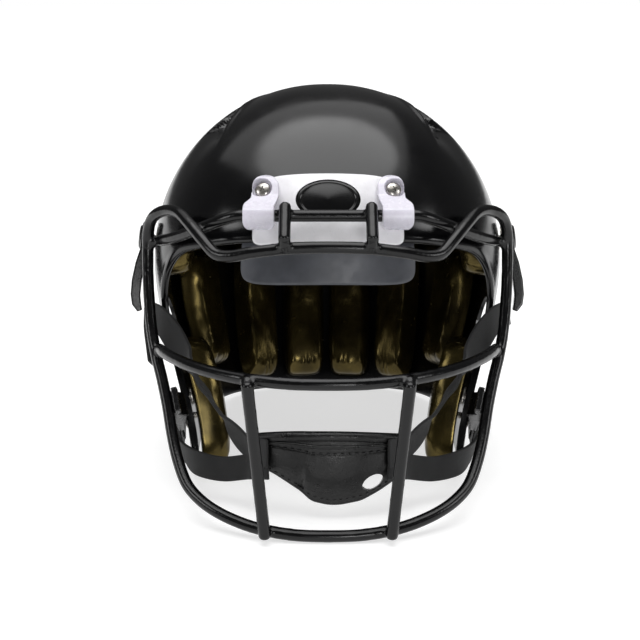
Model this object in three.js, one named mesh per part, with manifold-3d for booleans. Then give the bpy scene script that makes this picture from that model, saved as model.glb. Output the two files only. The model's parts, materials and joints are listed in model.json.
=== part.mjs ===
// An American football helmet: a moulded shell with its liner pads, a welded wire face mask on two
// top clips and two side clips, front and rear bumpers, and a four-point chin strap on snap studs.
// Everything is modelled head-level (x to the wearer's left or right, -y forward, z up, millimetres),
// then tipped back as a whole so that it stands on the mask's bottom wire and the rear bumper.
import * as THREE from "three";
import { mergeVertices } from "three/addons/utils/BufferGeometryUtils.js";
import Module from "manifold-3d";

const wasm = await Module();
wasm.setup();
const V = (x, y, z) => new THREE.Vector3(x, y, z);

// ---- driving dimensions -------------------------------------------------------------------
const HALF_WIDTH = 121; // shell, centre to side, at its widest level
const FRONT_REACH = 134; // shell centre to forehead
const BACK_REACH = 146; // shell centre to back of head
const DOME_RISE = 122; // widest level to crown
const WIDEST_Z = 10; // height of the widest level
const JAW_Z = -130; // level of the jaw flaps' lower edge
const JAW_HALF_WIDTH = 94; // shell half width at the jaw
const NAPE_REACH = 122; // shell centre to back at the jaw's level
const SHELL_WALL = 4;
const BROW_Z = 18; // lower edge of the shell over the face
const NAPE_Z = -91; // lower edge of the shell at the back
const WIRE_R = 3.85; // coated mask wire
const WIRE_GAP = 0.3; // between wires that the weld joins
const SWING_Y = -143; // mask's swing axis, in the top clips
const SWING_Z = 34;
const MASK_FRONT_Y = -186; // middle wire at the centre
const MASK_BOTTOM_Z = -160; // bottom wire at the centre
const MASK_HALF_WIDTH = HALF_WIDTH - 6.85 + WIRE_R; // side wires at the temple
const BUMPER_THICK = 3.6;
const BUMPER_WIDTH = 94;
const BUMPER_HEIGHT = 45;
const SEAT_GAP = 0.6; // clearance under a piece that lies on the shell's outside
const PAD_STAND_OFF = 3.4; // shell's inner face to the liner pads
const PAD_THICK = 18;
const JAW_PAD_THICK = 20;
const STRAP_WIDTH = 18;
const STRAP_THICK = 2;
const STUD_R = 3;
const SNAP_CLEARANCE = 0.7;
const SCREW_R = 2.2;
const SCREW_HEAD_R = 4.9;
const HOLE_CLEARANCE = 0.5;

// ---- the shell's skin -----------------------------------------------------------------------
const HEART = V(0, 5, -10); // every point of the skin is seen from here
const smooth = (u) => u * u * (3 - 2 * u);

// 1 on the skin, less inside it.
function skinValue(p) {
  const drop = THREE.MathUtils.clamp((WIDEST_Z - p.z) / (WIDEST_Z - JAW_Z), 0, 1.3);
  const taper = smooth(Math.min(drop, 1));
  const half = HALF_WIDTH + (JAW_HALF_WIDTH - HALF_WIDTH) * taper;
  const back = BACK_REACH + (NAPE_REACH - BACK_REACH) * taper;
  const reach = p.y < 0 ? FRONT_REACH : back;
  const power = 2.3 + 0.8 * taper; // the plan grows squarer towards the jaw
  const plan = ((Math.abs(p.x) / half) ** power + (Math.abs(p.y) / reach) ** power) ** (2 / power);
  return plan + (p.z > WIDEST_Z ? ((p.z - WIDEST_Z) / DOME_RISE) ** 2 : 0);
}

function skinNormal(p) {
  const e = 0.05;
  const slope = (d) => skinValue(p.clone().add(d)) - skinValue(p.clone().sub(d));
  return V(slope(V(e, 0, 0)), slope(V(0, e, 0)), slope(V(0, 0, e))).normalize();
}

// The skin's point seen from the heart towards p, moved out along the skin's normal.
function onSkin(p, offset = 0) {
  const ray = p.clone().sub(HEART).normalize();
  let near = 20;
  let far = 260;
  for (let i = 0; i < 40; i++) {
    const middle = (near + far) / 2;
    if (skinValue(HEART.clone().addScaledVector(ray, middle)) < 1) near = middle;
    else far = middle;
  }
  const q = HEART.clone().addScaledVector(ray, near);
  return offset ? q.addScaledVector(skinNormal(q), offset) : q;
}

// ---- solids ---------------------------------------------------------------------------------
function solidOf(geometry) {
  const g = geometry.index ? geometry.toNonIndexed() : geometry.clone();
  const bare = new THREE.BufferGeometry().setAttribute("position", g.getAttribute("position"));
  const merged = mergeVertices(bare, 1e-3);
  const solid = new wasm.Manifold(
    new wasm.Mesh({
      numProp: 3,
      vertProperties: merged.attributes.position.array,
      triVerts: new Uint32Array(merged.index.array),
    }),
  );
  if (solid.volume() > 0) return solid;
  const turned = merged.index.array;
  for (let i = 0; i < turned.length; i += 3) [turned[i + 1], turned[i + 2]] = [turned[i + 2], turned[i + 1]];
  return solidOf(merged);
}

function geometryOf(solid) {
  const mesh = solid.getMesh();
  return new THREE.BufferGeometry()
    .setAttribute("position", new THREE.BufferAttribute(new Float32Array(mesh.vertProperties), 3))
    .setIndex(new THREE.BufferAttribute(new Uint32Array(mesh.triVerts), 1));
}

const cut = (base, ...tools) =>
  geometryOf(tools.reduce((left, tool) => left.subtract(solidOf(tool)), solidOf(base)));
const common = (a, b) => geometryOf(solidOf(a).intersect(solidOf(b)));

// A closed solid between an outer and an inner set of rings, which share the same pole.
function layered(outerPole, outerRings, innerPole, innerRings) {
  const count = outerRings[0].length;
  const points = [outerPole, ...outerRings.flat(), innerPole, ...innerRings.flat()];
  const innerStart = 1 + outerRings.length * count;
  const index = [];
  const sheet = (start, rings, turn) => {
    const at = (ring, i) => start + 1 + ring * count + (i % count);
    const face = (a, b, c) => (turn ? index.push(a, c, b) : index.push(a, b, c));
    for (let i = 0; i < count; i++) {
      face(start, at(0, i), at(0, i + 1));
      for (let ring = 1; ring < rings; ring++) {
        face(at(ring - 1, i), at(ring, i), at(ring, i + 1));
        face(at(ring - 1, i), at(ring, i + 1), at(ring - 1, i + 1));
      }
    }
  };
  sheet(0, outerRings.length, false);
  sheet(innerStart, innerRings.length, true);
  const outerEdge = 1 + (outerRings.length - 1) * count;
  const innerEdge = innerStart + 1 + (innerRings.length - 1) * count;
  for (let i = 0; i < count; i++) {
    const j = (i + 1) % count;
    index.push(outerEdge + i, innerEdge + i, innerEdge + j, outerEdge + i, innerEdge + j, outerEdge + j);
  }
  const positions = new Float32Array(points.flatMap((p) => [p.x, p.y, p.z]));
  const geometry = new THREE.BufferGeometry()
    .setAttribute("position", new THREE.BufferAttribute(positions, 3))
    .setIndex(index);
  return geometryOf(solidOf(geometry));
}

// A rounded plate that follows the skin, between two offsets from it. power 2 is an oval, more is squarer.
function skinPatch({ centre, width, height, from, to, power = 4, steps = 24, rings = 3, up = V(0, 0, 1) }) {
  const middle = onSkin(centre);
  const out = skinNormal(middle);
  const side = up.clone().cross(out).normalize();
  const top = out.clone().cross(side);
  const place = (share, angle, offset) => {
    const c = Math.cos(angle);
    const s = Math.sin(angle);
    const reach = share / (Math.abs(c) ** power + Math.abs(s) ** power) ** (1 / power);
    const flat = middle.clone().addScaledVector(side, (reach * c * width) / 2);
    return onSkin(flat.addScaledVector(top, (reach * s * height) / 2), offset);
  };
  const ringsAt = (offset) =>
    Array.from({ length: rings }, (_, ring) =>
      Array.from({ length: steps }, (_, i) =>
        place((ring + 1) / rings, (2 * Math.PI * (i + 0.5)) / steps, offset),
      ),
    );
  return layered(onSkin(middle, to), ringsAt(to), onSkin(middle, from), ringsAt(from));
}

// Everything inside the skin moved out by an offset, as a cutter.
function insideSkin(offset) {
  const around = 64;
  const levels = 32;
  const sphere = new THREE.SphereGeometry(100, around, levels);
  const position = sphere.attributes.position;
  for (let i = 0; i < position.count; i++) {
    const p = V(0, 0, 0).fromBufferAttribute(position, i).add(HEART);
    const q = onSkin(p, offset);
    position.setXYZ(i, q.x, q.y, q.z);
  }
  return sphere;
}

// A coated wire along points.
function wire(points, steps) {
  const round = new THREE.Shape().absarc(0, 0, WIRE_R, 0, 2 * Math.PI);
  return new THREE.ExtrudeGeometry(round, {
    extrudePath: new THREE.CatmullRomCurve3(points, false, "centripetal"),
    steps,
    curveSegments: 4,
    bevelEnabled: false,
  });
}

const mirrored = (half) => [...half.slice(1).reverse().map((p) => V(-p.x, p.y, p.z)), ...half];

// A wire's points past the clips, spread with the shell's width.
const MASK_FLARE = (MASK_HALF_WIDTH - 54) / 64;
const flared = (points) => points.map((p) => (p.x > 54 ? V(54 + (p.x - 54) * MASK_FLARE, p.y, p.z) : p));

// A flat strap along points, its width along given directions.
function ribbon(points, widths, width, thickness, steps) {
  const line = new THREE.CatmullRomCurve3(points, false, "centripetal");
  const across = new THREE.CatmullRomCurve3(widths, false, "centripetal");
  const corners = [];
  for (let i = 0; i <= steps; i++) {
    const t = i / steps;
    const tangent = line.getTangent(t);
    const side = across.getPoint(t);
    side.addScaledVector(tangent, -side.dot(tangent)).normalize();
    const normal = tangent.clone().cross(side);
    for (const [a, b] of [[-1, -1], [1, -1], [1, 1], [-1, 1]]) {
      const corner = line.getPoint(t).addScaledVector(side, (a * width) / 2);
      corners.push(corner.addScaledVector(normal, (b * thickness) / 2));
    }
  }
  const index = [0, 1, 2, 0, 2, 3];
  for (let i = 0; i < steps; i++)
    for (let k = 0; k < 4; k++) {
      const a = i * 4 + k;
      const b = i * 4 + ((k + 1) % 4);
      index.push(a, a + 4, b + 4, a, b + 4, b);
    }
  const end = steps * 4;
  index.push(end, end + 2, end + 1, end, end + 3, end + 2);
  const positions = new Float32Array(corners.flatMap((p) => [p.x, p.y, p.z]));
  const geometry = new THREE.BufferGeometry()
    .setAttribute("position", new THREE.BufferAttribute(positions, 3))
    .setIndex(index);
  return geometryOf(solidOf(geometry));
}

// A place on the shell's right side: its point, and the turn that takes +Z to the skin's normal
// and +X towards a heading along the skin.
function station(x, y, z, heading = V(0, 0, -1)) {
  const point = onSkin(V(x, y, z));
  const normal = skinNormal(point);
  const along = heading.clone().addScaledVector(normal, -heading.dot(normal)).normalize();
  const side = normal.clone().cross(along);
  return { point, normal, matrix: new THREE.Matrix4().makeBasis(along, side, normal).setPosition(point) };
}

const placed = (geometry, matrix) => geometry.clone().applyMatrix4(matrix);

// A turned piece about +Z from radius and height pairs that start and end on the axis.
function turned(profile, segments = 12) {
  const lathe = new THREE.LatheGeometry(profile.map(([r, h]) => new THREE.Vector2(r, h)), segments);
  return geometryOf(solidOf(lathe.rotateX(Math.PI / 2)));
}

const drill = (radius, low, high) => turned([[0, low], [radius, low], [radius, high], [0, high]], 10);

function prism(outline, low, high) {
  return new THREE.ExtrudeGeometry(outline, {
    depth: high - low,
    bevelEnabled: false,
    curveSegments: 8,
  }).translate(0, 0, low);
}

// ---- materials --------------------------------------------------------------------------------
const finish = (color, roughness, metalness = 0) =>
  new THREE.MeshStandardMaterial({ color, roughness, metalness });
const gloss = finish(0x16171a, 0.18);
const vinyl = finish(0x121316, 0.35);
const white = finish(0xf2f0f4, 0.35);
const clipPlastic = finish(0xe4e1ea, 0.4);
const steel = finish(0xa8a5a0, 0.3, 1);
const gold = finish(0x8c7a3f, 0.35, 0.3);
const darkPad = finish(0x3c3d42, 0.5);
const blackPlastic = finish(0x0f1012, 0.4);
const webbing = finish(0x1b1c1f, 0.8);
const leather = finish(0x141416, 0.45);

const helmet = new THREE.Group();
function add(name, geometry, material) {
  const mesh = new THREE.Mesh(geometry, material);
  mesh.name = name;
  helmet.add(mesh);
}
// The same piece on the right, and mirrored on the left.
function addPair(name, geometry, material) {
  add(name + "_right", geometry, material);
  const left = new THREE.Mesh(geometry, material);
  left.name = name + "_left";
  left.scale.x = -1;
  helmet.add(left);
}
const bothSides = (geometry) => [
  geometry,
  geometryOf(solidOf(geometry).mirror([1, 0, 0])),
];

// ---- where things sit ---------------------------------------------------------------------------
const topScrew = station(38, -124, 47.5);
const sideScrew = station(97, -58, -84, V(0, -1, 0));
const upperStud = station(118, -28, 23);
const lowerStud = station(98, -23, -102, V(0, -0.93, -0.37));
const rearScrew = station(24, 122, -76);
const crownValve = station(0, 62, 118);
const rearValve = station(0, 140, 48);
const FRONT_PAD = { centre: V(0, -130, 21), width: 126, height: 60, power: 5 };

// ---- shell ----------------------------------------------------------------------------------------
// The right half of the shell's lower edge, from the brow round the face opening to the nape.
const edge = [
  V(0, -131, BROW_Z),
  V(30, -129, BROW_Z),
  V(60, -119, BROW_Z - 1),
  V(80, -108, BROW_Z - 3),
  V(95, -94, BROW_Z - 6),
  V(104, -82, BROW_Z - 13),
  V(109, -70, BROW_Z - 24),
  V(111, -61, BROW_Z - 40),
  V(107, -58, -45),
  V(100, -62, JAW_Z + 62),
  V(95, -69, JAW_Z + 40),
  V(90, -76, JAW_Z + 22),
  V(88, -77, JAW_Z + 10),
  V(88, -70, JAW_Z + 1),
  V(91, -52, JAW_Z - 2),
  V(94, -25, JAW_Z + 1),
  V(96, 5, JAW_Z + 8),
  V(96, 35, NAPE_Z - 20),
  V(89, 72, NAPE_Z - 9.5),
  V(70, 104, NAPE_Z - 3),
  V(38, 120, NAPE_Z + 0.5),
  V(0, 126, NAPE_Z + 1),
];
const crownPole = V(0, 50, 90);

function shellRings(offset, steps, rings) {
  const whole = [...edge, ...edge.slice(1, -1).reverse().map((p) => V(-p.x, p.y, p.z))];
  const loop = new THREE.CatmullRomCurve3(whole.map((p) => onSkin(p)), true, "centripetal");
  const rim = loop.getSpacedPoints(steps).slice(0, steps);
  const pole = crownPole.clone().sub(HEART).normalize();
  const rows = [];
  for (let ring = 1; ring <= rings; ring++)
    rows.push(
      rim.map((p) => {
        const out = p.clone().sub(HEART).normalize();
        const angle = pole.angleTo(out);
        const share = ring / rings;
        const direction = pole
          .clone()
          .multiplyScalar(Math.sin((1 - share) * angle))
          .addScaledVector(out, Math.sin(share * angle));
        return onSkin(direction.add(HEART), offset);
      }),
    );
  return rows;
}

function makeShell() {
  const steps = 64;
  const rings = 11;
  const pole = crownPole.clone();
  const wall = layered(
    onSkin(pole),
    shellRings(0, steps, rings),
    onSkin(pole, -SHELL_WALL),
    shellRings(-SHELL_WALL, steps, rings),
  );
  const earHole = prism(new THREE.Shape().absellipse(0, 0, 21, 18, 0, 2 * Math.PI), -25, 25);
  const ventShape = new THREE.Shape().absellipse(0, 0, 14, 4.5, 0, 2 * Math.PI);
  const vent = prism(ventShape, -15, 15);
  const through = (radius, at) => placed(drill(radius, -15, 15), at.matrix);
  const screwHole = SCREW_R + HOLE_CLEARANCE;
  const paired = [
    placed(earHole, station(110, 8, -38).matrix),
    placed(vent, station(66, -50, 100, V(0.34, -0.76, -0.55)).matrix),
    placed(vent, station(64, 66, 88, V(0.8, -0.05, -0.6)).matrix),
    placed(vent, station(50, 118, 40, V(0.6, 0, -0.8)).matrix),
    through(screwHole, topScrew),
    through(screwHole, sideScrew),
    through(screwHole, upperStud),
    through(screwHole, lowerStud),
    through(screwHole, rearScrew),
  ];
  return cut(wall, ...paired.flatMap(bothSides), through(5, crownValve), through(5, rearValve));
}
add("shell", makeShell(), gloss);

// ---- bumpers and badge ------------------------------------------------------------------------------
const bumperCentre = V(0, -130, BROW_Z + 21);
const badgeOval = (grow) =>
  prism(new THREE.Shape().absellipse(0, 0, 19.5 + grow, 12 + grow, 0, 2 * Math.PI), 0, 60)
    .rotateX(Math.PI / 2)
    .translate(0, -100, BROW_Z + 26.5);

add(
  "front_bumper",
  cut(
    skinPatch({
      centre: bumperCentre,
      width: BUMPER_WIDTH,
      height: BUMPER_HEIGHT,
      from: SEAT_GAP,
      to: BUMPER_THICK,
      power: 9,
      steps: 32,
    }),
    badgeOval(0.4),
    ...bothSides(placed(drill(SCREW_R + HOLE_CLEARANCE, -15, 15), topScrew.matrix)),
  ),
  white,
);

add(
  "front_badge",
  common(
    skinPatch({ centre: bumperCentre, width: 60, height: 50, from: SEAT_GAP, to: BUMPER_THICK + 0.2, steps: 20 }),
    badgeOval(0),
  ),
  gloss,
);

// ---- stance -------------------------------------------------------------------------------------------
const rearFoot = V(0, 128, NAPE_Z - 2.4);
const maskFoot = V(0, -150, MASK_BOTTOM_Z - WIRE_R);
const pitch = Math.atan2(rearFoot.z - maskFoot.z, rearFoot.y - maskFoot.y);
helmet.rotation.x = -pitch;
// Half space under the table, in head-level coordinates.
const table = new THREE.BoxGeometry(600, 600, 100)
  .translate(0, 0, -50)
  .applyMatrix4(new THREE.Matrix4().makeRotationX(pitch))
  .translate(rearFoot.x, rearFoot.y, rearFoot.z);

add(
  "rear_bumper",
  cut(
    skinPatch({
      centre: V(0, 126, NAPE_Z + 12),
      width: 78,
      height: 34,
      from: SEAT_GAP,
      to: BUMPER_THICK + 1.4,
      power: 6,
      steps: 24,
    }),
    table,
    ...bothSides(placed(drill(SCREW_R + HOLE_CLEARANCE, -15, 15), rearScrew.matrix)),
  ),
  blackPlastic,
);

// ---- screws and nuts -------------------------------------------------------------------------------------
// A pan-head screw whose head seats at a height above the skin, and its nut behind the wall.
function screw(seat, tail = -(SHELL_WALL + 2.6)) {
  return turned([
    [0, tail],
    [SCREW_R, tail],
    [SCREW_R, seat],
    [SCREW_HEAD_R, seat],
    [SCREW_HEAD_R, seat + 1],
    [SCREW_HEAD_R * 0.75, seat + 2.2],
    [0, seat + 2.8],
  ]);
}
function nut() {
  const outside = -(SHELL_WALL + 1.3);
  const disc = turned([[0, outside - 1.5], [6, outside - 1.5], [6, outside], [0, outside]]);
  return cut(disc, drill(SCREW_R + 0.35, outside - 5, outside + 5));
}
const CLIP_TONGUE = 4.4; // top clip's strap over the bumper
const SIDE_SEAT = 5.8; // side clip's tongue under its screw
const SIDE_CLIP_Z = -84;
addPair("top_clip_screw", placed(screw(BUMPER_THICK + CLIP_TONGUE + 0.9), topScrew.matrix), steel);
addPair("top_clip_nut", placed(nut(), topScrew.matrix), steel);
addPair("side_clip_screw", placed(screw(SIDE_SEAT + 0.3), sideScrew.matrix), steel);
addPair("side_clip_nut", placed(nut(), sideScrew.matrix), steel);
addPair("rear_bumper_screw", placed(screw(BUMPER_THICK + 1.8), rearScrew.matrix), steel);

// ---- face mask ---------------------------------------------------------------------------------------------
const sideWireTop = V(MASK_HALF_WIDTH, -76, 2);
const topWire = mirrored([
  ...flared([
    V(0, SWING_Y, SWING_Z),
    V(20, SWING_Y, SWING_Z),
    V(40, SWING_Y, SWING_Z),
    V(54, SWING_Y, SWING_Z),
    V(66, SWING_Y + 6, 31),
    V(78, -124, 27.5),
    V(90, -109, 24),
    V(100.6, -94, 21.5),
  ]),
  V(MASK_HALF_WIDTH - 2 * WIRE_R - WIRE_GAP, -77, 20.5),
]);
const browWire = mirrored([
  ...flared([
    V(0, -162, 14.4),
    V(24, -161, 13.8),
    V(45, -157, 11.6),
    V(60, -152, 9.4),
    V(68, -147.5, 11),
    V(76, -140, 19),
    V(86.5, -126, 30.5),
    V(93.4, -115, 37),
    V(102, -102, 39.2),
    V(110, -92, 37.4),
    V(115, -83.5, 33),
  ]),
  V(MASK_HALF_WIDTH - 0.5, -78, 25),
  V(MASK_HALF_WIDTH, -76, 15),
  sideWireTop,
]);
const sideWire = mirrored([
  ...flared([
    V(0, -150, MASK_BOTTOM_Z),
    V(20, -149.3, MASK_BOTTOM_Z + 0.6),
    V(38, -146.8, MASK_BOTTOM_Z + 3),
    V(52, -142.5, MASK_BOTTOM_Z + 6.2),
    V(68.5, -135, MASK_BOTTOM_Z + 12.2),
    V(80, -127.5, MASK_BOTTOM_Z + 18.8),
    V(88.5, -120, MASK_BOTTOM_Z + 27),
    V(95, -111.5, MASK_BOTTOM_Z + 41),
    V(99.5, -104, MASK_BOTTOM_Z + 57),
    V(103, -97.5, MASK_BOTTOM_Z + 74),
    V(107.3, -91, MASK_BOTTOM_Z + 91),
    V(111.7, -85, MASK_BOTTOM_Z + 106),
    V(115.4, -79.5, MASK_BOTTOM_Z + 124),
  ]),
  V(MASK_HALF_WIDTH - 0.5, -76.5, -12),
  sideWireTop.clone().add(V(0, 0, -WIRE_GAP)),
]);
const middleWire = mirrored(flared([
  V(0, MASK_FRONT_Y, -64.8),
  V(22, MASK_FRONT_Y + 1.8, -64.5),
  V(45, MASK_FRONT_Y + 10, -63),
  V(62, MASK_FRONT_Y + 21.5, -61),
  V(80, -147, -57.8),
  V(95, -124.5, -54),
  V(104, -105, -51.4),
  V(108, -92, -50.2),
]));
add("mask_top_wire", wire(topWire, 26), vinyl);
add("mask_brow_wire", wire(browWire, 46), vinyl);
add("mask_side_wire", wire(sideWire, 46), vinyl);
add("mask_middle_wire", wire(middleWire, 24), vinyl);

// An upright lapped in front of two wires, running past both.
function upright(high, low, over, under) {
  const run = low.clone().sub(high).normalize();
  const front = V(0, -1, 0).addScaledVector(run, run.y).normalize();
  const lap = 2 * WIRE_R + WIRE_GAP + 0.3;
  return wire(
    [
      high.clone().addScaledVector(front, lap).addScaledVector(run, -over),
      low.clone().addScaledVector(front, lap).addScaledVector(run, under),
    ],
    1,
  );
}
addPair("mask_upper_upright", upright(V(26, SWING_Y, SWING_Z), V(26, -160.7, 13.6), 2, 2.5), vinyl);
addPair(
  "mask_lower_upright",
  upright(V(47.5, MASK_FRONT_Y + 11.2, -62.8), V(38.5, -146.7, MASK_BOTTOM_Z + 3.1), 2, 2),
  vinyl,
);

// ---- top clips ------------------------------------------------------------------------------------------------
const CLIP_WIDTH = 22;
const CLIP_X = 42;
const CLIP_LOOP_R = 8.6;
function topClip() {
  // Drawn in the y-z plane: a loop about the wire with a tongue that runs up the bumper.
  const outline = new THREE.Shape();
  outline.absarc(SWING_Y, SWING_Z, CLIP_LOOP_R, -Math.PI * 0.25, Math.PI * 0.86, true);
  outline.lineTo(-137.5, 47);
  outline.lineTo(-134.6, 54);
  outline.lineTo(-131.5, 58.5);
  outline.lineTo(-120, 61);
  outline.lineTo(-120, SWING_Z - 8);
  const loopHole = new THREE.Path().absarc(SWING_Y, SWING_Z, WIRE_R + 0.45, 0, 2 * Math.PI);
  outline.holes.push(loopHole);
  const settings = { depth: CLIP_WIDTH, bevelEnabled: false, curveSegments: 10 };
  const block = new THREE.ExtrudeGeometry(outline, settings);
  // Shape x is y, shape y is z, and the depth runs along x.
  block.applyMatrix4(new THREE.Matrix4().makeBasis(V(0, 1, 0), V(0, 0, 1), V(1, 0, 0)));
  block.translate(CLIP_X - CLIP_WIDTH / 2, 0, 0);
  // The tongue above the wire is narrower than the loop on its outboard side.
  const waist = new THREE.BoxGeometry(12, 60, 60).translate(CLIP_X + CLIP_WIDTH / 2 + 4.5, -130, 76);
  return cut(
    block,
    insideSkin(BUMPER_THICK + 0.5),
    waist,
    placed(drill(SCREW_R + HOLE_CLEARANCE, -15, 25), topScrew.matrix),
    placed(turned([[0, 8.6], [6, 8.6], [6, 30], [0, 30]]), topScrew.matrix),
  );
}
addPair("top_clip", topClip(), clipPlastic);

// ---- side clips -------------------------------------------------------------------------------------------------
// A jaw open to the front holds the side wire, and a tongue runs back over the shell to its screw.
function sideClip() {
  const line = new THREE.CatmullRomCurve3(sideWire, false, "centripetal");
  const rise = (t) => Math.abs(line.getPoint(t).z - SIDE_CLIP_Z);
  let nearest = 0.5;
  for (let t = 0.5; t < 1; t += 0.002) {
    if (rise(t) < rise(nearest)) nearest = t;
  }
  const at = line.getPoint(nearest);
  const up = line.getTangent(nearest);
  const front = V(0, -1, 0).addScaledVector(up, up.y).normalize();
  const outward = front.clone().cross(up).normalize();
  if (outward.x < 0) outward.negate();
  const inner = WIRE_R + 0.6;
  const degrees = Math.PI / 180;
  // The jaw wraps the wire's inboard and rear sides; the tongue runs back to the screw.
  const outline = new THREE.Shape();
  outline.moveTo(-(WIRE_R + 4.4), 4);
  outline.absarc(0, 0, WIRE_R + 4.4, 180 * degrees, 228 * degrees);
  outline.lineTo(-11, -14);
  outline.lineTo(-16, -28);
  outline.lineTo(-16, -47);
  outline.lineTo(2.2, -47);
  outline.lineTo(0.8, -28);
  outline.lineTo(3, -14);
  outline.lineTo(3.8, -6.6);
  outline.absarc(0, 0, inner, 300 * degrees, 180 * degrees, true);
  outline.lineTo(-inner, 4);
  const height = 16;
  const block = prism(outline, -height / 2, height / 2);
  block.applyMatrix4(
    new THREE.Matrix4().makeBasis(outward, front, outward.clone().cross(front)).setPosition(at),
  );
  return cut(
    block,
    insideSkin(SEAT_GAP + 1.1),
    placed(drill(SCREW_R + HOLE_CLEARANCE, -15, 25), sideScrew.matrix),
    placed(turned([[0, SIDE_SEAT], [14, SIDE_SEAT], [14, 30], [0, 30]]), sideScrew.matrix),
  );
}
addPair("side_clip", sideClip(), blackPlastic);

// ---- snap studs and strap buckles -----------------------------------------------------------------------------------
function snapStud() {
  return turned([
    [0, -(SHELL_WALL + 2.4)],
    [SCREW_R, -(SHELL_WALL + 2.4)],
    [SCREW_R, 1.3],
    [8, 1.3],
    [8, 2.4],
    [STUD_R, 2.8],
    [STUD_R, 7],
    [0, 7.8],
  ]);
}
addPair("snap_stud_upper", placed(snapStud(), upperStud.matrix), steel);
addPair("snap_stud_lower", placed(snapStud(), lowerStud.matrix), steel);

// A buckle seen from its edge: x runs from the snap to the strap, y away from the shell.
function buckle(profile, width) {
  const outline = new THREE.Shape(profile.map(([along, out]) => new THREE.Vector2(along, out)));
  const body = prism(outline, -width / 2, width / 2).rotateX(Math.PI / 2);
  const bore = STUD_R + SNAP_CLEARANCE;
  const socket = turned([[0, -5], [bore, -5], [bore, 8.6], [0, 8.6]]);
  return cut(body, socket);
}
const BUCKLE_WIDTH = 22;
const upperBuckle = buckle(
  [[-11.5, 4], [-11.5, 7.4], [-9.5, 9.4], [9, 9.8], [18, 11.2], [30, 12.4], [40, 12.2], [47, 10.6],
    [51.5, 7], [50, 4.2], [46.5, 5.4], [40, 6.8], [30, 6.8], [20, 5.6], [11.5, 4.6], [11.5, 4]],
  BUCKLE_WIDTH,
);
const lowerBuckle = buckle(
  [[-11.5, 4], [-11.5, 7.4], [-9.5, 9.4], [9, 9.8], [20, 9], [24, 7.6], [24, 5.2], [11.5, 4.4], [11.5, 4]],
  BUCKLE_WIDTH,
);
addPair("strap_buckle_upper", placed(upperBuckle, upperStud.matrix), blackPlastic);
addPair("strap_buckle_lower", placed(lowerBuckle, lowerStud.matrix), blackPlastic);

// ---- chin cup and straps -----------------------------------------------------------------------------------------------
const CUP = { halfWidth: 50, depth: 26, top: -104, bottom: -146, y: -106 };
const CUP_THICK = 3;
const CUP_PAD_THICK = 6;
// A point of the cup: across runs from -1 to 1, down from 0 to 1, inset goes in from the front face.
function cupPoint(across, down, inset) {
  const face = (a, d) => {
    const round = Math.sqrt(1 - 0.9 * a * a);
    const sag = 0.42 + 0.58 * Math.max(0, 1 - Math.abs(a) ** 2.6) ** 0.6;
    const low = CUP.top + (CUP.bottom - CUP.top) * sag;
    const high = CUP.top + 5 * (1 - a * a);
    const under = 1 - 0.45 * d * d;
    return V(a * CUP.halfWidth, CUP.y - CUP.depth * under * round, high + (low - high) * d);
  };
  const e = 0.002;
  const alongA = face(across + e, down).sub(face(across - e, down));
  const alongD = face(across, down + e).sub(face(across, down - e));
  const inward = alongA.cross(alongD).normalize();
  if (inward.y < 0) inward.negate();
  return face(across, down).addScaledVector(inward, inset);
}
function cupLayer(from, to) {
  const columns = 14;
  const rows = 4;
  const loop = (inset, share) => {
    const ring = [];
    const push = (a, d) => ring.push(cupPoint(a * share, 0.5 + (d - 0.5) * share, inset));
    for (let i = 0; i < columns; i++) push(-1 + (2 * i) / columns, 0);
    for (let i = 0; i < rows; i++) push(1, i / rows);
    for (let i = 0; i < columns; i++) push(1 - (2 * i) / columns, 1);
    for (let i = 0; i < rows; i++) push(-1, 1 - i / rows);
    return ring;
  };
  const shares = [0.35, 0.7, 1];
  return layered(
    cupPoint(0, 0.5, from),
    shares.map((share) => loop(from, share)),
    cupPoint(0, 0.5, to),
    shares.map((share) => loop(to, share)),
  );
}
add("chin_cup", cupLayer(0, CUP_THICK), leather);
add("chin_cup_pad", cupLayer(CUP_THICK + 1.2, CUP_THICK + CUP_PAD_THICK), webbing);

const upperStrap = ribbon(
  [
    V(52.5, -109, -110),
    V(75, -97, -82),
    V(96, -82, -50),
    V(109.5, -69, -33),
    V(119.5, -54, -28.5),
    V(124, -41, -27),
  ],
  [
    V(0.6, 0.1, 0.8),
    V(0.55, 0.2, 0.8),
    V(0.45, 0.25, 0.85),
    V(0.1, 0.2, 1),
    V(0, 0.1, 1),
    V(0, 0.1, 1),
  ],
  STRAP_WIDTH,
  STRAP_THICK,
  10,
);
const lowerStrap = ribbon(
  [
    V(52, -108, -124),
    V(68, -99, -126.5),
    V(84, -90.5, -124),
    V(94, -78, -118.5),
    V(99, -66, -113),
    V(103.5, -57, -109),
  ],
  [
    V(-0.1, 0.1, 1),
    V(0, 0.1, 1),
    V(0.05, 0.1, 1),
    V(0.25, -0.1, 1),
    V(0.25, -0.35, 1),
    V(0.2, -0.4, 1),
  ],
  STRAP_WIDTH - 2,
  STRAP_THICK,
  10,
);
addPair("chin_strap_upper", upperStrap, webbing);
addPair("chin_strap_lower", lowerStrap, webbing);

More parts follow.
